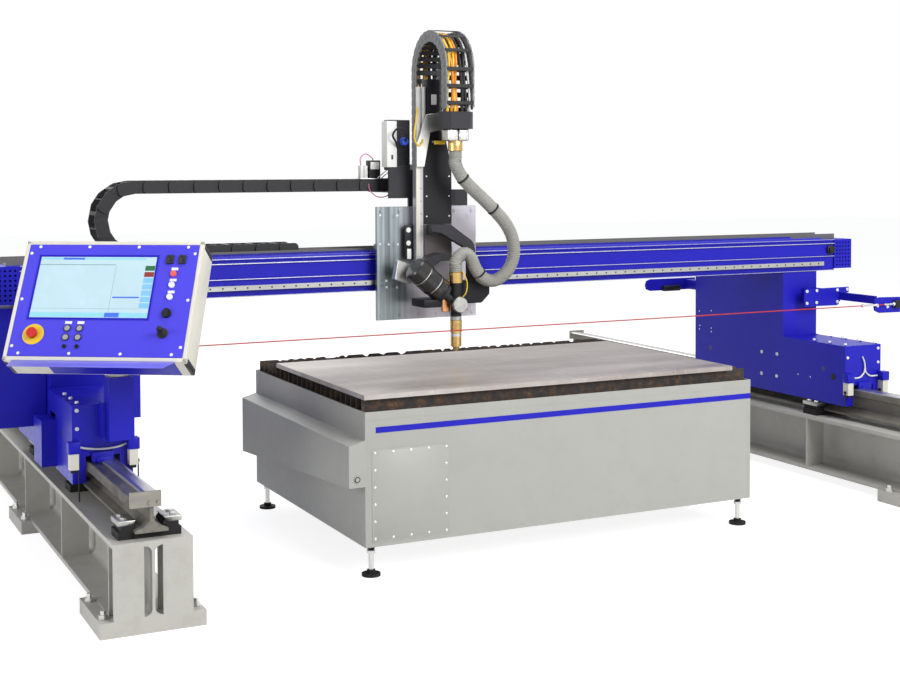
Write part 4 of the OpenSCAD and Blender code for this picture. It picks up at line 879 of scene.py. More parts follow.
def panel_controls():
    """Collars round the switches, lamps, blank labels, sockets and the joystick's bellows."""
    outline = [(11, 2.2), (44.5, 2.2), (44.5, 2.5), (43.6, 2.9), (11, 2.9)]
    on_panel(ring("stop_disc", (-266, -155, 0), Z, outline, 48), yellow_plastic)
    outline = [(11.6, 0.1), (15.4, 0.1), (15.4, 1.4), (13.6, 2.4), (11.6, 2.4)]
    rings = [ring("ring", (x, y, 3), Z, outline, 24) for x in (-130, -79) for y in (-128, -167)]
    outline = [(6, 0.1), (9.4, 0.1), (9.4, 1), (7.5, 2), (6, 2)]
    rings += [ring("ring", (x, -206, 2), Z, outline, 24) for x in (-128, -77)]
    outline = [(14.4, 0.1), (22.4, 0.1), (22.4, 1.5), (18, 4), (14.4, 4)]
    rings.append(ring("ring", (263, -146, 2), Z, outline))
    on_panel(joined("control_rings", rings), black_plastic)
    domes = [turned("dome", (268, y, 7), Z, LAMP_DOME, 24) for y in (66, 13)]
    on_panel(joined("white_lamps", domes), lamp_white)
    on_panel(turned("red_lamp", (268, 116, 7), Z, LAMP_DOME, 24), lamp_red)
    labels = [block("label", (x - 14, y, 0.1), (28, 12, 0.8), 0.3, 1)
              for x, y in ((-130, -108), (-79, -108), (270, 133), (270, 83), (270, 30))]
    on_panel(joined("blank_labels", labels), white_plastic)
    sockets = [sink(block("socket", (x - 15, 161, 0.2), (30, 38, 9)), Z, 5, 5) for x in (245, 296)]
    on_panel(joined("service_sockets", sockets), dark_paint)
    steps = [(18, 0.2), (19, 3), (14.6, 5), (16, 8), (12.4, 10), (13.6, 13), (9.6, 16), (6, 22)]
    grip = turned("stick_bellows", (263, -146, 4), Z, steps, 24)
    grip.matrix_world = PANEL @ grip.matrix_world
    grip.data.materials.append(black_rubber)
    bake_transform(settle(grip))


def panel_trim():
    """White screws round the edge of the face."""
    half_w, half_h = FACE_W / 2 - 13, FACE_H / 2 - 10
    places = [(x, y, 0) for y in (half_h, -half_h + 2) for x in (-313, -104, 105, 312)]
    places += [(x, y, 0) for x in (half_w, -half_w - 1) for y in (208, 0, -205)]
    head = turned("screw", ORIGIN, Z, [(6.5, 0), (6.5, 1.4), (4.6, 2.6)], 16)
    on_panel(copies("panel_screws", head, places), white_plastic)


def panel_case():
    """A folded cream case with moulded corners, its lid rim, the swivel foot and the blue shelf before it."""
    wide, tall, deep = FACE_W / 2 + CASE_EDGE - 1, FACE_H / 2 + CASE_EDGE - 1, CASE_D
    rim = CASE_EDGE - 1.5
    shell = [block("shell", (-wide, -tall, -deep), (2 * wide, 2 * tall, deep - FACE_T - 0.3), 5, 3)]
    shell += [block("rim", (x, -tall, -RIM_D), (rim, 2 * tall, RIM_D), 3) for x in (-wide, wide - rim)]
    shell += [block("rim", (-wide, y, -RIM_D), (2 * wide, rim, RIM_D), 3) for y in (-tall, tall - rim)]
    case = joined("case_shell", shell)
    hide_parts("panel_case")
    on_panel(case, cream_paint)
    caps = [block("cap", (sx * (wide - 7) - 8, sy * (tall - 12.5) - 13.5, 6 - deep), (16, 27, deep - 26), 4)
            for sx in (-1, 1) for sy in (-1, 1)]
    on_panel(joined("corner_caps", caps), dark_paint)
    vents = [block("vent", (-150 + 30 * k, 110, -deep - 2.4), (14, 110, 2.6), 1, 1) for k in range(3, 9)]
    on_panel(joined("case_vents", vents), dark_paint)
    on_panel(block("bracket", (-70, -95, -deep - 15), (140, 190, 15.2), 3), cream_paint)
    foot = turned("swivel_foot", (*POST_PLACE, FOOT_Z), Z, [(41, 0), (42, 1), (42, 200)], 40)
    wear(foot, cream_paint, "panel")
    shelf = block("shelf", (-SHELF_W / 2, -SHELF_D, -3.5), (SHELF_W, SHELF_D + 20, 3), 1)
    cut(shelf, (-SHELF_W / 2, 0, 0), (-0.958, -0.287, 0))
    shelf.matrix_world = Matrix.Translation(PANEL @ mm(0, -tall, 0)) @ Matrix.Rotation(PANEL_YAW, 4, "Z")
    wear(settle(shelf), lit_shelf_paint, "panel")
    on_panel(block("shelf_fold", (-205, -tall - 1.2, 10 - deep), (530, 2, deep - 14), 0.6, 1), blue_paint)


panel_screen()
panel_controls()
panel_trim()
panel_case()

# Tracks and table

RAIL_X = 2025
TRACK_HALF, RAIL_HALF = 1850, 1830
FOOT_FIRST, FOOT_PITCH, FOOT_COUNT = -TRACK_HALF + 180, TRACK_HALF - 180, 3
FOOT_BOLT = (175.15, 120, 59)
CLIP_PITCH, CLIP_FIRST, CLIP_COUNT = (2 * RAIL_HALF - 170) / 4, -RAIL_HALF + 85, 5
CLIP_CAP, CLIP_NUT = (80, 397), (94, 28, 413)
BUFFER = (RAIL_X + 52, RAIL_HALF - 2, 488)


def track_fittings():
    """Levelling bolts on the feet, and a bolted steel cap on each of the rail's clips."""
    bolts, caps, heads = [], [], []
    bolt_x, bolt_y, bolt_z = FOOT_BOLT
    nut_x, nut_y, nut_z = CLIP_NUT
    cap_x, cap_z = CLIP_CAP
    for rail in (-RAIL_X, RAIL_X):
        for k in range(FOOT_COUNT):
            middle = FOOT_FIRST + k * FOOT_PITCH
            bolts += [(rail + s * bolt_x, middle + t * bolt_y, bolt_z) for s in (-1, 1) for t in (-1, 1)]
        for k in range(CLIP_COUNT):
            middle = CLIP_FIRST + k * CLIP_PITCH
            for s in (-1, 1):
                turn = Matrix.Identity(4) if s > 0 else Matrix.Rotation(pi, 4, "Z")
                caps.append(Matrix.Translation(mm(rail + s * cap_x, middle, cap_z)) @ turn)
                heads += [(rail + s * nut_x, middle + t, nut_z) for t in (-nut_y, nut_y)]
    steps = [(21, 0.2), (21, 4), (18, 4), (18, 16.2), (11.4, 16.4), (11.4, 30), (9, 32)]
    wear(copies("levelling_bolts", turned("stud", ORIGIN, Z, steps, 6), bolts), zinc, "base")
    wear(copies("clip_nuts", nut(13, 11), heads), zinc, "base")
    cap = block("clip_cap", (-27, -57, 0), (68, 114, 19.5), 3)
    cut(cap, (-12, 0, 0), (-0.78, 0, -0.62))
    wear(copies("clip_caps", cap, caps), cast_steel, "base")


def end_buffers():
    """A half-round rubber buffer on each stop."""
    steps = [(15, 0), (15, 10), (13, 16), (8, 20), (2, 21.5)]
    x, y, z = BUFFER
    pads = [turned("buffer", (side * x, end * y, z), Y * -end, steps, 24)
            for side in (-1, 1) for end in (-1, 1)]
    wear(joined("rail_buffers", pads), black_rubber, "base")


def casing_trim():
    """The casing's blue stripe, riveted access panel, seams and folds."""
    lo, hi = low("table_casing"), high("table_casing")
    front, wide, fold_h = lo.y, hi.x - lo.x, hi.z - lo.z - 40
    wear(block("stripe", (lo.x + 48, front - 1, 610), (wide - 48, 1.4, 25), 0.3, 1), blue_paint, "base")
    panel = sink(block("access_panel", (lo.x + 30, front - 2, 150), (360, 2.4, 390), 0.8), -Y, 6, -0.4)
    wear(panel, casing_paint, "base")
    spots = [(lo.x + 44 + 332 * k / 4, front - 2.2, z) for k in range(5) for z in (164, 526)]
    spots += [(x, front - 2.2, 164 + 362 * k / 5) for k in range(1, 5) for x in (lo.x + 44, lo.x + 376)]
    rivet = turned("rivet", ORIGIN, Z, [(6, 0), (5.4, 1.6), (3, 2.6)], 12)
    screws("casing_rivets", spots, -Y, rivet, zinc, "base")
    seams = [block("rim", (lo.x - 0.5, front - 0.8, hi.z - 34), (wide + 1, 1.2, 35), 0.5, 1)]
    seams += [block("seam", (x, front - 0.6, lo.z + 4), (3, 1, 470), 0.3, 1) for x in (lo.x + 12, hi.x - 15)]
    wear(joined("casing_seams", seams), casing_paint, "base")
    folds = [block("fold", (hi.x - 0.4, front + 4 + 472 * k, lo.z + 4), (1.2, 6, fold_h), 0.4, 1)
             for k in (1, 2)]
    folds += [block("fold", (lo.x + 4 + 660 * k, hi.y - 0.4, lo.z + 4), (6, 1.2, fold_h), 0.4, 1)
              for k in (1, 2)]
    wear(joined("casing_folds", folds), casing_paint, "base")


def duct_trim():
    """A rubber plug and the flanges of the extraction duct."""
    lo, hi, front = low("extraction_duct"), high("extraction_duct"), low("table_casing").y
    steps = [(12.4, -0.5), (12.4, 0.2), (9, 0.4), (8, -2)]
    wear(turned("duct_plug", (lo.x + 36, front - 6, 423), -Y, steps, 24), black_rubber, "base")
    flanges = [block("flange", (lo.x - 0.6, y, hi.z - 118), (1.4, 14, 98), 0.5, 1)
               for y in (front + 10, -600, -180)]
    wear(joined("duct_flanges", flanges), casing_paint, "base")


def foot_fittings():
    """The threaded stem and lock nut of each of the table's feet."""
    lo, hi = low("table_feet"), high("table_feet")
    feet = [(x, y, 0) for x in (lo.x + 40, hi.x - 40) for y in (lo.y + 40, hi.y - 40)]
    wear(copies("foot_locknuts", nut(18.5, 14), [(x, y, 96) for x, y, _ in feet]), zinc, "base")
    steps = [(10.6 + 0.7 * (k % 2), 26 + 3 * k) for k in range(24)]
    wear(copies("foot_screws", turned("thread", ORIGIN, Z, steps, 16), feet), zinc, "base")


SLAT_COUNT, SLAT_T, SLAT_SHEET = 23, 6, 5
SLAT_STEPS, SLAT_ROWS = 150, 5
OPEN_BITE, COVERED_BITE, BITE_FADE, TOP_ROW = 26, 4, 8, 0.95
BITE_PITCH, BITE_ROW, BITE_NOISE = 60, 3.7, (0.8, 2.0, 5)
PIT_CHANCE, PIT_DEPTH = 0.02, (4, 14)
LEAN_PITCH, LEAN_ROW, LEAN = 9, 1.3, 2.0


def burnt_slats():
    """Slats with their top edges eaten by the arc, less so under the sheet."""
    lo, hi = low("slats"), high("slats")
    pitch = (hi.y - lo.y - SLAT_T) / (SLAT_COUNT - 1)
    chance = Random(7)
    rows = []
    sheet_end = high("work_plate").y + 10
    for k in range(SLAT_COUNT):
        y = lo.y + k * pitch
        slat = grid(SLAT_STEPS, SLAT_ROWS)
        under_sheet = y < sheet_end
        deepest = COVERED_BITE if under_sheet else OPEN_BITE
        for vertex in slat.data.vertices:
            u, v = vertex.co.x + 0.5, vertex.co.y + 0.5
            rough = noise.fractal(Vector((u * BITE_PITCH, k * BITE_ROW, 0)), *BITE_NOISE)
            bite = max(0.0, rough) * deepest * min(1.0, BITE_FADE * u, BITE_FADE * (1 - u))
            if not under_sheet and chance.random() < PIT_CHANCE:
                bite += chance.uniform(*PIT_DEPTH)
            top = hi.z - bite * (v > TOP_ROW)
            z = lo.z + (top - lo.z) * v
            lean = noise.noise(Vector((u * LEAN_PITCH, k * LEAN_ROW, 4))) * LEAN * v
            vertex.co = mm(lo.x + u * (hi.x - lo.x), y + (SLAT_T - SLAT_SHEET) / 2 + lean, z)
        rows.append(thicken(slat, SLAT_SHEET))
    piece = wear(joined("burnt_slats", rows), burnt, "base")
    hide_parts("slats")


track_fittings()
end_buffers()
casing_trim()
duct_trim()
foot_fittings()
burnt_slats()

# Lift, chain and torch

HEAD_X, HEAD_Y = -293, -890
LIFT_TURN_Y, LIFT_TURN_Z, LIFT_RADIUS = -750, 2190, 170
LINK_H, LINK_T, NICK = 57, 8, 4
FRONT_END, REAR_END = 2008, 1681
LINK_STEPS, FRONT_STEPS, TURN_STEPS, REAR_STEPS = 4, 18, 52, 48
CHAIN_LEADS = [(yellow_plastic, 15, (-128, -98)), (orange_plastic, 14, (-113, -85)),
               (black_plastic, 18, (-62, -42)), (wire_white, 11, (-24,))]
LEAD_RISE, LEAD_TAIL, LEAD_RINGS, LEAD_SIDES = 5, 20, 120, 10
LEAD_SWAY, SWAY_STEPS, LEAD_WAVE, WAVE_STEPS = 5, 6, 6, 9


def lift_line(out):
    """The lift chain's (y, z) run from its front end over the turn to its rear end, moved outwards."""
    radius = LIFT_RADIUS + out
    rise = [(LIFT_TURN_Y - radius, FRONT_END + (LIFT_TURN_Z - FRONT_END) * k / FRONT_STEPS)
            for k in range(FRONT_STEPS)]
    turn = [(LIFT_TURN_Y - radius * cos(pi * k / TURN_STEPS), LIFT_TURN_Z + radius * sin(pi * k / TURN_STEPS))
            for k in range(TURN_STEPS + 1)]
    fall = [(LIFT_TURN_Y + radius, LIFT_TURN_Z + (REAR_END - LIFT_TURN_Z) * k / REAR_STEPS)
            for k in range(1, REAR_STEPS + 1)]
    return rise + turn + fall


def on_lift_chain(piece, material):
    """Gives a piece of the lift chain its material and bakes its place into its mesh."""
    piece.data.materials.clear()
    piece.data.materials.append(material)
    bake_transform(piece)


def chain_side(x):
    """One side of the lift chain: a band of links with a nick at each joint."""
    half = LINK_H / 2
    outer = lift_line(half), lift_line(half - NICK)
    inner = lift_line(-half), lift_line(NICK - half)
    last = len(outer[0]) - 1
    band = grid(last, 1)
    for vertex in band.data.vertices:
        k = round((vertex.co.x + 0.5) * last)
        nicked = k % LINK_STEPS == LINK_STEPS // 2
        y, z = (outer if vertex.co.y > 0 else inner)[nicked][k]
        vertex.co = mm(x, y, z)
    return thicken(band, LINK_T)


def lift_chain():
    """Grey sides, black cross bars, and the torch's cables lying in the chain."""
    left, right = low("lift_chain").x, high("lift_chain").x
    middle = lift_line(0)
    ups = [(Vector((0, *b)) - Vector((0, *a))).normalized() for a, b in zip(middle, lift_line(1))]
    pin = turned("pin", ORIGIN, Z, [(12, -1), (12, 1.2), (10, 2)], 16)
    places = []
    for spot in middle[::LINK_STEPS]:
        places += [facing((left, *spot), -X), facing((right, *spot), X)]
    sides = [chain_side(left + LINK_T / 2), chain_side(right - LINK_T / 2), copies("pins", pin, places)]
    chain = joined("chain_sides", sides)
    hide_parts("lift_chain")
    on_lift_chain(chain, grey_chain_plastic)
    wide = right - left - LINK_T
    rows = []
    for name, gap, tall, off in (("outer_bar", 2 * LINK_STEPS, 18, 26), ("inner_bar", LINK_STEPS, 25, -26)):
        line, spots = lift_line(off), []
        for k in range(2, len(middle) - 1, gap):
            spot = Matrix.Translation(mm((left + right) / 2, *line[k]))
            spots.append(spot @ Matrix((X, ups[k], X.cross(ups[k]))).transposed().to_4x4())
        rows.append(copies(name, block(name, (-wide / 2, -2.5, -tall / 2), (wide, 5, tall), 1.5, 1), spots))
    on_lift_chain(joined("chain_bars", rows), chain_plastic)
    for number, (material, width, spots) in enumerate(CHAIN_LEADS, 1):
        tubes = []
        for spot in spots:
            line = []
            for k, (y, z) in enumerate(lift_line(LEAD_RISE)):
                place = Vector((right + spot + LEAD_SWAY * sin(k / SWAY_STEPS + spot), y, z))
                line.append((place + ups[k] * LEAD_WAVE * sin(k / WAVE_STEPS + spot)) * MM)
            line.insert(0, line[0] - Z * LEAD_TAIL * MM)
            tubes.append(tube("lead", line, [width / 2 * MM] * LEAD_RINGS, LEAD_SIDES))
        on_lift_chain(joined("chain_cables_%d" % number, tubes), material)


def on_head(name, z, steps):
    """A turned piece on the torch's axis."""
    return turned(name, (HEAD_X, HEAD_Y, z), Z, steps, 40)


def cable_gland():
    """The dark faceted box under the chain, its split clamp, brass fitting and the plate that carries it."""
    box = block("gland_box", (HEAD_X - 80, HEAD_Y - 60, 1905), (160, 120, 82), 0)
    for sx in (-1, 1):
        for sy in (-1, 1):
            cut(box, (HEAD_X + sx * 65, HEAD_Y + sy * 45, 1946), (sx, sy, 0))
    wear(smooth(box, 20), dark_paint, "lift")
    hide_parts("cable_gland")
    parts = [block("clip", (HEAD_X - 55, HEAD_Y - 20, 1986), (110, 40, 21.5)),
             block("arm", (HEAD_X - 30, HEAD_Y, 1850), (60, 131, 40))]
    wear(joined("gland_mount", parts), dark_paint, "lift")
    halves = [block("half", (HEAD_X + x, HEAD_Y - 40, 1847), (55, 80, 59), 9, 3) for x in (-56.5, 1.5)]
    wear(joined("split_clamp", halves), zinc, "lift")
    spots = [(HEAD_X + x, HEAD_Y - 40, z) for x in (-42, -12, 14, 44) for z in (1862, 1890)]
    screws("clamp_screws", spots, -Y, screw_head(5, 3), bright_steel, "lift")
    steps = [(33, 0), (35, 2), (35, 14), (34, 15), (34, 19), (35, 20), (35, 46), (33, 49)]
    wear(on_head("brass_fitting", 1799, steps), turned_brass, "lift")
    outline = [(-443, 1724), (-404, 1724), (-371, 1890), (-318, 1903), (-318, 1986), (-391, 1978),
               (-443, 1838)]
    wear(plate("gland_plate", outline, -776, 12), zinc, "lift")
    wear(block("yellow_tag", (-362, -800, 1832), (60, 4, 18), 1), yellow_plastic, "lift")
    wear(block("tag_arm", (-340, -797, 1838), (8, 38, 6), 1), dark_paint, "lift")
    points = [(-412, -774, 1858), (-418, -786, 1842), (-437, -790, 1826), (-454, -790, 1838),
              (-464, -792, 1866), (-462, -792, 1903), (-454, -788, 1940), (-440, -770, 1990),
              (-430, -752, 2010)]
    cable("valve_lead", points, 9, yellow_plastic, "lift")


def lift_top():
    """The lift's motor and its two damper tubes inside the chain's turn."""
    wear(block("lift_motor", (-378, -757, 1700), (68, 67, 451), 4), black_paint, "lift")
    wear(block("motor_label", (-357, -758.5, 2026), (28, 3, 50), 0.5, 1), white_plastic, "lift")
    tubes = [bar("tube", (x, -736, 1845), (x, -736, 2112), 12) for x in (-417, -391)]
    wear(joined("damper_tubes", tubes), wire_white, "lift")


def lift_covers():
    """The lift cover's screws, the bronze cover below it and the slotted strip beside it."""
    spots = [(x, -760, z) for x in (-386, -264) for z in (1677, 1580, 1482)] + [(-351, -760, 1845)]
    screws("cover_screws", spots, -Y, screw_head(4.5, 2.5), bright_steel, "lift")
    wear(block("lower_cover", (-399, -761.5, 1264), (148, 2, 176), 0.6, 1), bronze_paint, "lift")
    wear(block("guide_strip", (-439, -757, 1290), (22, 4, 556), 1), cream_paint, "lift")
    slots = [block("slot", (-424, -755.5, z), (13, 2.5, 4), 0.5, 1) for z in (1616, 1554, 1492, 1430)]
    wear(joined("strip_slots", slots), black_plastic, "lift")


def head_arm():
    """The bent arm that carries the tilting head in front of the lift."""
    outline = [(-403, 1446), (-293, 1441), (-238, 1402), (-186, 1366), (-170, 1346), (-164, 1312),
               (-164, 1160), (-200, 1160), (-200, 1290), (-224, 1331), (-294, 1369), (-348, 1401),
               (-403, 1410)]
    arm = plate("bent_arm", outline, -850, 40, 3)
    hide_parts("head_arm")
    wear(arm, dark_paint, "lift")
    root = block("arm_root", (-385, -812, 1391), (95, 52, 52), 3)
    outline = [(-433, 1261), (-399, 1291), (-344, 1307), (-322, 1297), (-358, 1262), (-399, 1238)]
    wear(joined("arm_fork", [root, plate("fork", outline, -848, 88, 3)]), dark_paint, "lift")
    outline = [(-240, 1056), (-130, 1056), (-86, 1098), (-86, 1166), (-240, 1166)]
    wear(plate("tilt_gear_case", outline, -850, 90, 4), black_paint, "lift")
    outline = [(x * 0.9 - 16, z * 0.9 + 111) for x, z in outline]
    wear(plate("case_lid", outline, -852, 3), black_paint, "lift")
    wear(block("head_foot", (-469, -905, 1050), (92, 145, 38), 3), black_paint, "lift")


TILT_FOOT = Vector((HEAD_X, HEAD_Y, 1061))
TILT_WAY = Vector((-cos(radians(40)), 0, sin(radians(40))))


def bevel_drive():
    """The ribbed black rotary drive on the slanting axis, and the bright plate behind it."""
    steps = [(46, 0), (54, 2), (58, 8), (58, 44), (53, 47), (53, 55), (61, 58), (61, 116), (56, 120),
             (56, 128), (61, 131), (61, 182), (52, 190)]
    drive = turned("rotary_drive", TILT_FOOT + TILT_WAY * 100, TILT_WAY, steps, 48)
    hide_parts("bevel_drive")
    wear(drive, gloss_black, "lift")
    outline = [(50, 0), (57.4, 0), (57.4, 4), (50, 4)]
    rims = [ring("rim", TILT_FOOT + TILT_WAY * at, TILT_WAY, outline, 48) for at in (149, 222)]
    wear(joined("drive_rims", rims), bright_steel, "lift")
    outline = [(-573, 1184), (-556, 1277), (-465, 1244), (-440, 1180), (-503, 1160)]
    wear(plate("drive_plate", outline, -800, 42, 2), zinc, "lift")


def torch():
    """A turned torch: brass collar, black sleeve, bright knob and rings, copper bracket and earth lead."""
    collar = on_head("collar", 1163, [(32, 0), (33.5, 1.5), (33.5, 51), (31, 53)])
    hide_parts("torch_body")
    wear(collar, turned_brass, "torch")
    shaft = [on_head("sleeve", 1095, [(29, 0), (30, 1), (30, 68.5)]),
             on_head("core", 1003, [(26, 0), (27, 1), (27, 18), (24, 19), (24, 92.5)])]
    wear(joined("sleeve_and_core", shaft), black_plastic, "torch")
    steps = [(12, -10), (12, 0), (36, 0.2), (39, 4), (39, 20), (36, 24)]
    rings = [on_head("ring", 983, [(26, 0), (27.6, 1.5), (27.6, 18), (26, 20)]),
             turned("knob", (HEAD_X, HEAD_Y - 32, 1061), -Y, steps, 12)]
    wear(joined("knob_and_ring", rings), cast_steel, "torch")
    steps = [(46, 0), (48, 2), (48, 18), (46, 20)]
    arm = [turned("arm", TILT_FOOT, TILT_WAY, [(20, 0), (20, 80)], 24),
           turned("flange", TILT_FOOT + TILT_WAY * 79, TILT_WAY, steps, 40)]
    wear(joined("tilt_flange", arm), dark_paint, "torch")
    wear(block("torch_bracket", (-362, -885, 1025), (44, 18, 98), 3), copper, "torch")
    outline = [(20, 0), (27.4, 0), (27.4, 14), (20, 14)]
    wear(ring("nozzle_ring", (HEAD_X, HEAD_Y, 906), Z, outline, 40), bright_steel, "torch")
    points = [(-272, -920, 1222), (-258, -930, 1187), (-252, -932, 1156), (-258, -932, 1119),
              (-271, -922, 1096)]
    cable("torch_earth_lead", points, 6, yellow_plastic, "torch")


def hose_ties():
    """Black straps round the hose."""
    outline = [(30, -4), (33.6, -4), (33.6, 4), (30, 4)]
    straps = [ring("strap", place, way, outline, 24) for place, way in (
        ((-254, HEAD_Y - 4, 1666), (-48, 0, 52)), ((-92, HEAD_Y - 9, 1517), (-62, 0, 57)),
        ((-166, HEAD_Y - 6, 1202), (-42, 0, 48)))]
    piece = joined("hose_straps", straps)
    piece.data.materials.append(black_plastic)
    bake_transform(piece)


# Carriage

CARRIAGE_FRONT = -718
PLATE_SCREWS = [(-614, 1490), (-525, 1488), (-615, 1350), (-570, 1348), (-522, 1347), (-584, 1171),
                (-583, 1141), (-527, 1138), (-210, 1492), (-119, 1492), (-210, 1020), (-119, 1020)]


def carriage_plate():
    """The plate's screws, and the black ear with its pale washers and slot."""
    spots = [(x, CARRIAGE_FRONT, z) for x, z in PLATE_SCREWS]
    screws("plate_screws", spots, -Y, screw_head(6, 3), bright_steel, "carriage")
    wear(block("ear_plate", (-487, -724, 1271), (54, 7, 169), 4), black_paint, "carriage")
    steps = [(12, -0.5), (12, 1.6), (9, 2.4)]
    marks = [turned("washer", (-467, -724, z), -Y, steps, 24) for z in (1416, 1352)]
    marks.append(block("slot_pad", (-475, -726, 1274), (22, 3, 50), 1))
    wear(joined("ear_washers", marks), white_plastic, "carriage")


def carriage_boxes():
    """The white control box, the motor beside it and the lead between them."""
    wear(block("control_box", (-557, -674, 1722), (54, 68, 226), 4), white_paint, "carriage")
    wear(block("box_latch", (-534, -675.5, 1760), (9, 2, 22)), black_plastic, "carriage")
    ribs = [block("rib", (-500, -673, 1735 + 11 * k), (64, 5, 5), 1, 1) for k in range(9)]
    wear(joined("motor_ribs", ribs), black_paint, "carriage")
    steps = [(21, -1), (21, 10), (18, 12), (18, 24), (15, 26)]
    wear(turned("motor_plug", (-468, -670, 1848), -Y, steps, 24), wire_blue, "carriage")
    points = [(-468, -695, 1848), (-474, -720, 1876), (-500, -726, 1908), (-528, -718, 1904),
              (-540, -706, 1876), (-522, -696, 1850), (-508, -682, 1830), (-500, -672, 1816)]
    cable("motor_lead", points, 10, black_plastic, "carriage")


def chain_end():
    """What stands on the cross chain's end: a clip, relays on a strip and their pink wires."""
    top = high("cross_chain_upper").z
    wear(block("relay_strip", (-650, -560, top), (200, 60, 4), 1), zinc, "carriage")
    wear(block("relay", (-604, -562, top + 4), (61, 44, 88), 3), black_plastic, "carriage")
    wear(block("relay_face", (-597, -564, top + 48), (47, 3, 36), 1), white_plastic, "carriage")
    blocks = [block("terminal", (-648 + 20 * k, -558, top + 4), (18, 34, 62)) for k in range(2)]
    wear(joined("terminals", blocks), wire_white, "carriage")
    wear(block("chain_clip", (-440, -612, top + 18), (60, 150, 54), 3), zinc, "carriage")
    stays = [bar("stay", (a, -562, top + 4), (b, -562, top + 52), 3) for a, b in ((-560, -500), (-540, -478))]
    wear(joined("clip_stays", stays), bright_steel, "carriage")
    loops = {"relay_wire": [(-640, -540, top + 22), (-641, -544, top + 66), (-646, -552, top + 104),
                            (-621, -556, top + 124), (-590, -552, top + 108), (-575, -543, top + 92),
                            (-572, -540, top + 24)],
             "tail_wire": [(-607, -562, 1640), (-605, -568, 1612), (-578, -570, 1583), (-544, -570, 1574),
                           (-509, -570, 1583), (-490, -568, 1611), (-488, -562, 1640)]}
    for name, points in loops.items():
        cable(name, points, 5, pink_plastic, "carriage")
    leads = [tube("lead", [mm(-470, y, z), mm(-425, y, z - 4), mm(-382, y, z + 4)], [5 * MM] * 8, 10)
             for y, z in ((-606, 1676), (-600, 1664))]
    wear(joined("orange_leads", leads), orange_plastic, "carriage")


lift_chain()
cable_gland()
lift_top()
lift_covers()
head_arm()
bevel_drive()
torch()
hose_ties()
carriage_plate()
carriage_boxes()
chain_end()

# Gantry

SIDES = ((-1, "left"), (1, "right"))
BEAM_FRONT, BEAM_HALF = -630, 2290
# Height on the beam and own height of each painted highlight strip on the beam's ridges, in millimetres
BEAM_HIGHLIGHTS = ((1293, 2.5), (1270.5, 4), (1198, 3), (1117.5, 3))
COLUMN_IN, COLUMN_BACK = 1925, 214
COLUMN_BOLTS = ((-434, 642), (-570, 644), (-432, 516), (-568, 517))
COLUMN_HOLES = ((173, 824), (53, 837), (172, 713), (52, 730), (52, 708), (169, 735), (-752, 552), (-855, 550))
HOUSING_FRONT, HOUSING_TOP = -1133, 754
GUIDE_MIDDLE, GUIDE_SCREW_PITCH = 1159.5, 60
REAR_ARM = ((2092, 935), (2092, 1009), (1745, 1009), (1716, 998), (1708, 972), (1716, 946), (1745, 935))


def beam_trim():
    """Painted highlights, bright steel strips along the painted beam's ridges for their sheen; the guide's
    screws and the black fitting at each end.
    """
    # Bright steel strips at the ridges' heights: painted highlights standing for the ridges' sheen
    strips = [block("edge", (-BEAM_HALF, BEAM_FRONT - 1, z), (2 * BEAM_HALF, 2, tall), 0.5, 1)
              for z, tall in BEAM_HIGHLIGHTS]
    wear(joined("beam_highlight_strips", strips), bright_steel, "gantry")
    guide = low("cross_rails").y
    count = int(2 * BEAM_HALF / GUIDE_SCREW_PITCH) - 4
    spots = [((k - count / 2) * GUIDE_SCREW_PITCH, guide, GUIDE_MIDDLE) for k in range(count + 1)]
    screws("guide_screws", spots, -Y, dot(4.5), black_plastic, "gantry")
    steps = [(26, -1), (26, 14), (20, 16), (20, 26), (12, 28)]
    knobs = [turned("fitting", (side * 2262, BEAM_FRONT + 8, 1237), -Y, steps, 24) for side, _ in SIDES]
    wear(joined("beam_fittings", knobs), black_plastic, "gantry")


def column_fittings():
    """Bolts and holes on the columns' inner faces, with a black disc on each that is painted shade for a
    hole.
    """
    for side, name in SIDES:
        face, way = side * COLUMN_IN, -side * X
        spots = [(face, y, z) for y, z in COLUMN_BOLTS]
        screws(name + "_column_bolts", spots, way, screw_head(10, 5), white_paint, "gantry")
        spots = [(face, y, z) for y, z in COLUMN_HOLES]
        screws(name + "_column_holes", spots, way, dot(4), bright_steel, "gantry")
        # A flat black disc: painted shade where the housing shows a dark hole
        hole = turned(name + "_hole_shade_disc", (face, -1042, 575), way, [(18, 0), (18, 0.8), (15, 1)], 24)
        wear(hole, black_rubber, "gantry")


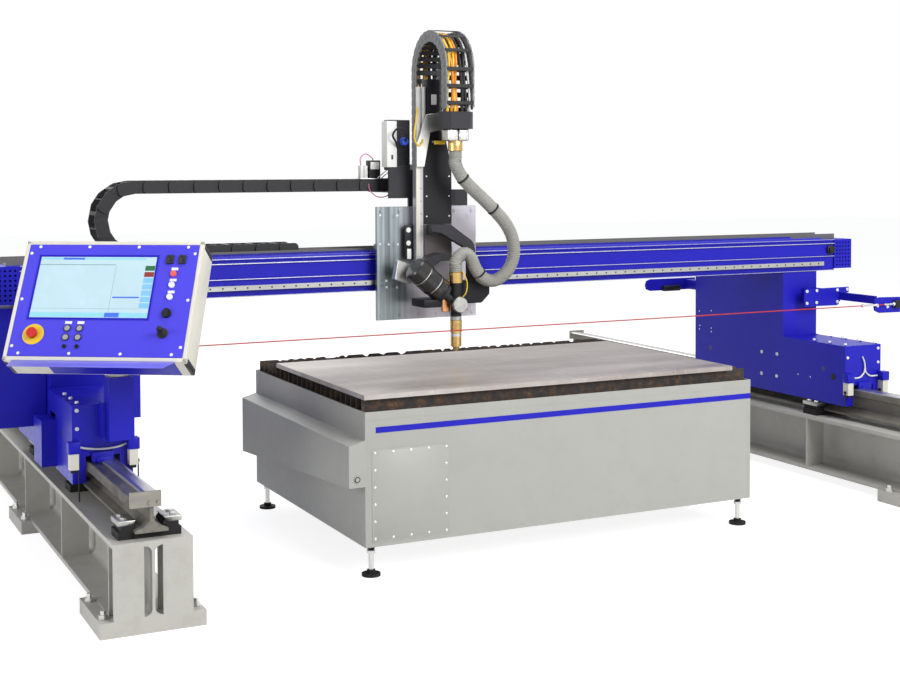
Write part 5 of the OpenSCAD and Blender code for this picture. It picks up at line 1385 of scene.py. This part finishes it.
def housing_fittings():
    """The rail wipers, the limit switches' brackets, noses and leads, and the housings' cover screws."""
    lids, wipers, brackets, noses, fronts = [], [], [], [], []
    for side, _ in SIDES:
        lids += [(side * x, y, HOUSING_TOP) for x in (1946, 2150) for y in (-1110, -985, -860)]
        fronts += [(side * 2155, HOUSING_FRONT, z) for z in (728, 652)]
        wipers += [block("wiper", (side * 2053 - 45, HOUSING_FRONT - 17, 509), (90, 18, 43), 3),
                   block("wiper_lip", (side * 2028 - 29, HOUSING_FRONT - 17, 478), (58, 18, 34), 3),
                   block("wiper_clamp", (side * 2053 - 26, HOUSING_FRONT - 24, 509), (52, 24, 22), 3)]
        for x in (1930, 2174):
            brackets.append(block("bracket", (side * x - 24, HOUSING_FRONT - 44, 556), (48, 45, 48)))
            noses.append(block("nose", (side * x - 12, HOUSING_FRONT - 34, 476), (24, 26, 14.5), 3))
    fronts.append((1941, HOUSING_FRONT, 688))
    screws("housing_lid_screws", lids, Z, screw_head(8, 9), white_paint, "gantry")
    screws("housing_front_screws", fronts, -Y, screw_head(8, 6), white_paint, "gantry")
    wear(joined("rail_wipers", wipers), blue_paint, "gantry")
    wear(joined("switch_brackets", brackets), blue_paint, "gantry")
    wear(joined("switch_noses", noses), black_rubber, "gantry")
    runs = {"right_switch_lead": [(2040, 689), (2053, 660), (2058, 630), (2064, 604), (2094, 582),
                                  (2145, 580)],
            "right_branch_lead": [(2058, 630), (2050, 600), (2018, 577), (1960, 577)],
            "left_switch_lead": [(-1952, 577), (-1990, 566), (-2050, 562), (-2110, 568), (-2150, 577)]}
    for name, points in runs.items():
        points = [(x, HOUSING_FRONT - 7, z) for x, z in points]
        cable(name, points, 9, wire_white, "gantry")


def arm_plate(name, outline, near, bolts):
    """A bolted blue plate on a trip cord arm."""
    wear(plate(name, outline, near, 8), blue_paint, "gantry")
    spots = [(x, near, z) for x, z in bolts]
    screws(name + "_bolts", spots, -Y, screw_head(9, 5), white_paint, "gantry")


def arm_plates():
    """The right arm's root and end plates, and the arm of the rear trip cord behind each column."""
    outline = [(2019, 922), (2255, 919), (2272, 926), (2275, 988), (2345, 990), (2345, 1023), (2019, 1021)]
    bolts = [(2036, 1008), (2107, 1010), (2036, 940), (2106, 941), (2258, 1008), (2331, 1009), (2258, 940)]
    arm_plate("arm_root_plate", outline, -692, bolts)
    outline = [(2255, 942), (2262, 914), (2294, 900), (2450, 898), (2450, 984), (2294, 988), (2262, 977)]
    arm_plate("arm_end_plate", outline, -993, [(2280, 942), (2354, 933)])
    for side, name in SIDES:
        outline = [(side * x, z) for x, z in REAR_ARM]
        wear(plate(name + "_rear_arm", outline, 446, 8), blue_paint, "gantry")
        stays = [block("stay", (side * 2030 - 22, COLUMN_BACK - 1, 940), (44, 233, 60), 3),
                 block("stay_foot", (side * 2040 - 60, COLUMN_BACK - 1, 906), (120, 9, 116))]
        wear(joined(name + "_rear_stay", stays), blue_paint, "gantry")
        switch = block(name + "_rear_switch", (side * 1892 - 62, 412, 932), (124, 34, 34), 4)
        wear(switch, black_plastic, "gantry")


beam_trim()
column_fittings()
housing_fittings()
arm_plates()

# Cross chain


def chain_run(node):
    """A welded copy of one run of the cross chain, which takes the CAD node's place."""
    source = nodes[node]
    run = placed(bpy.data.objects.new(node + "_links", source.data.copy()))
    run.matrix_world = source.matrix_world
    edit(run)
    bpy.ops.mesh.remove_doubles(threshold=WELD)
    leave_edit()
    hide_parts(node)
    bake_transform(run)


def cross_chain():
    """Copies of the upper and lower runs of the cross chain."""
    chain_run("cross_chain_upper")
    chain_run("cross_chain_lower")


cross_chain()
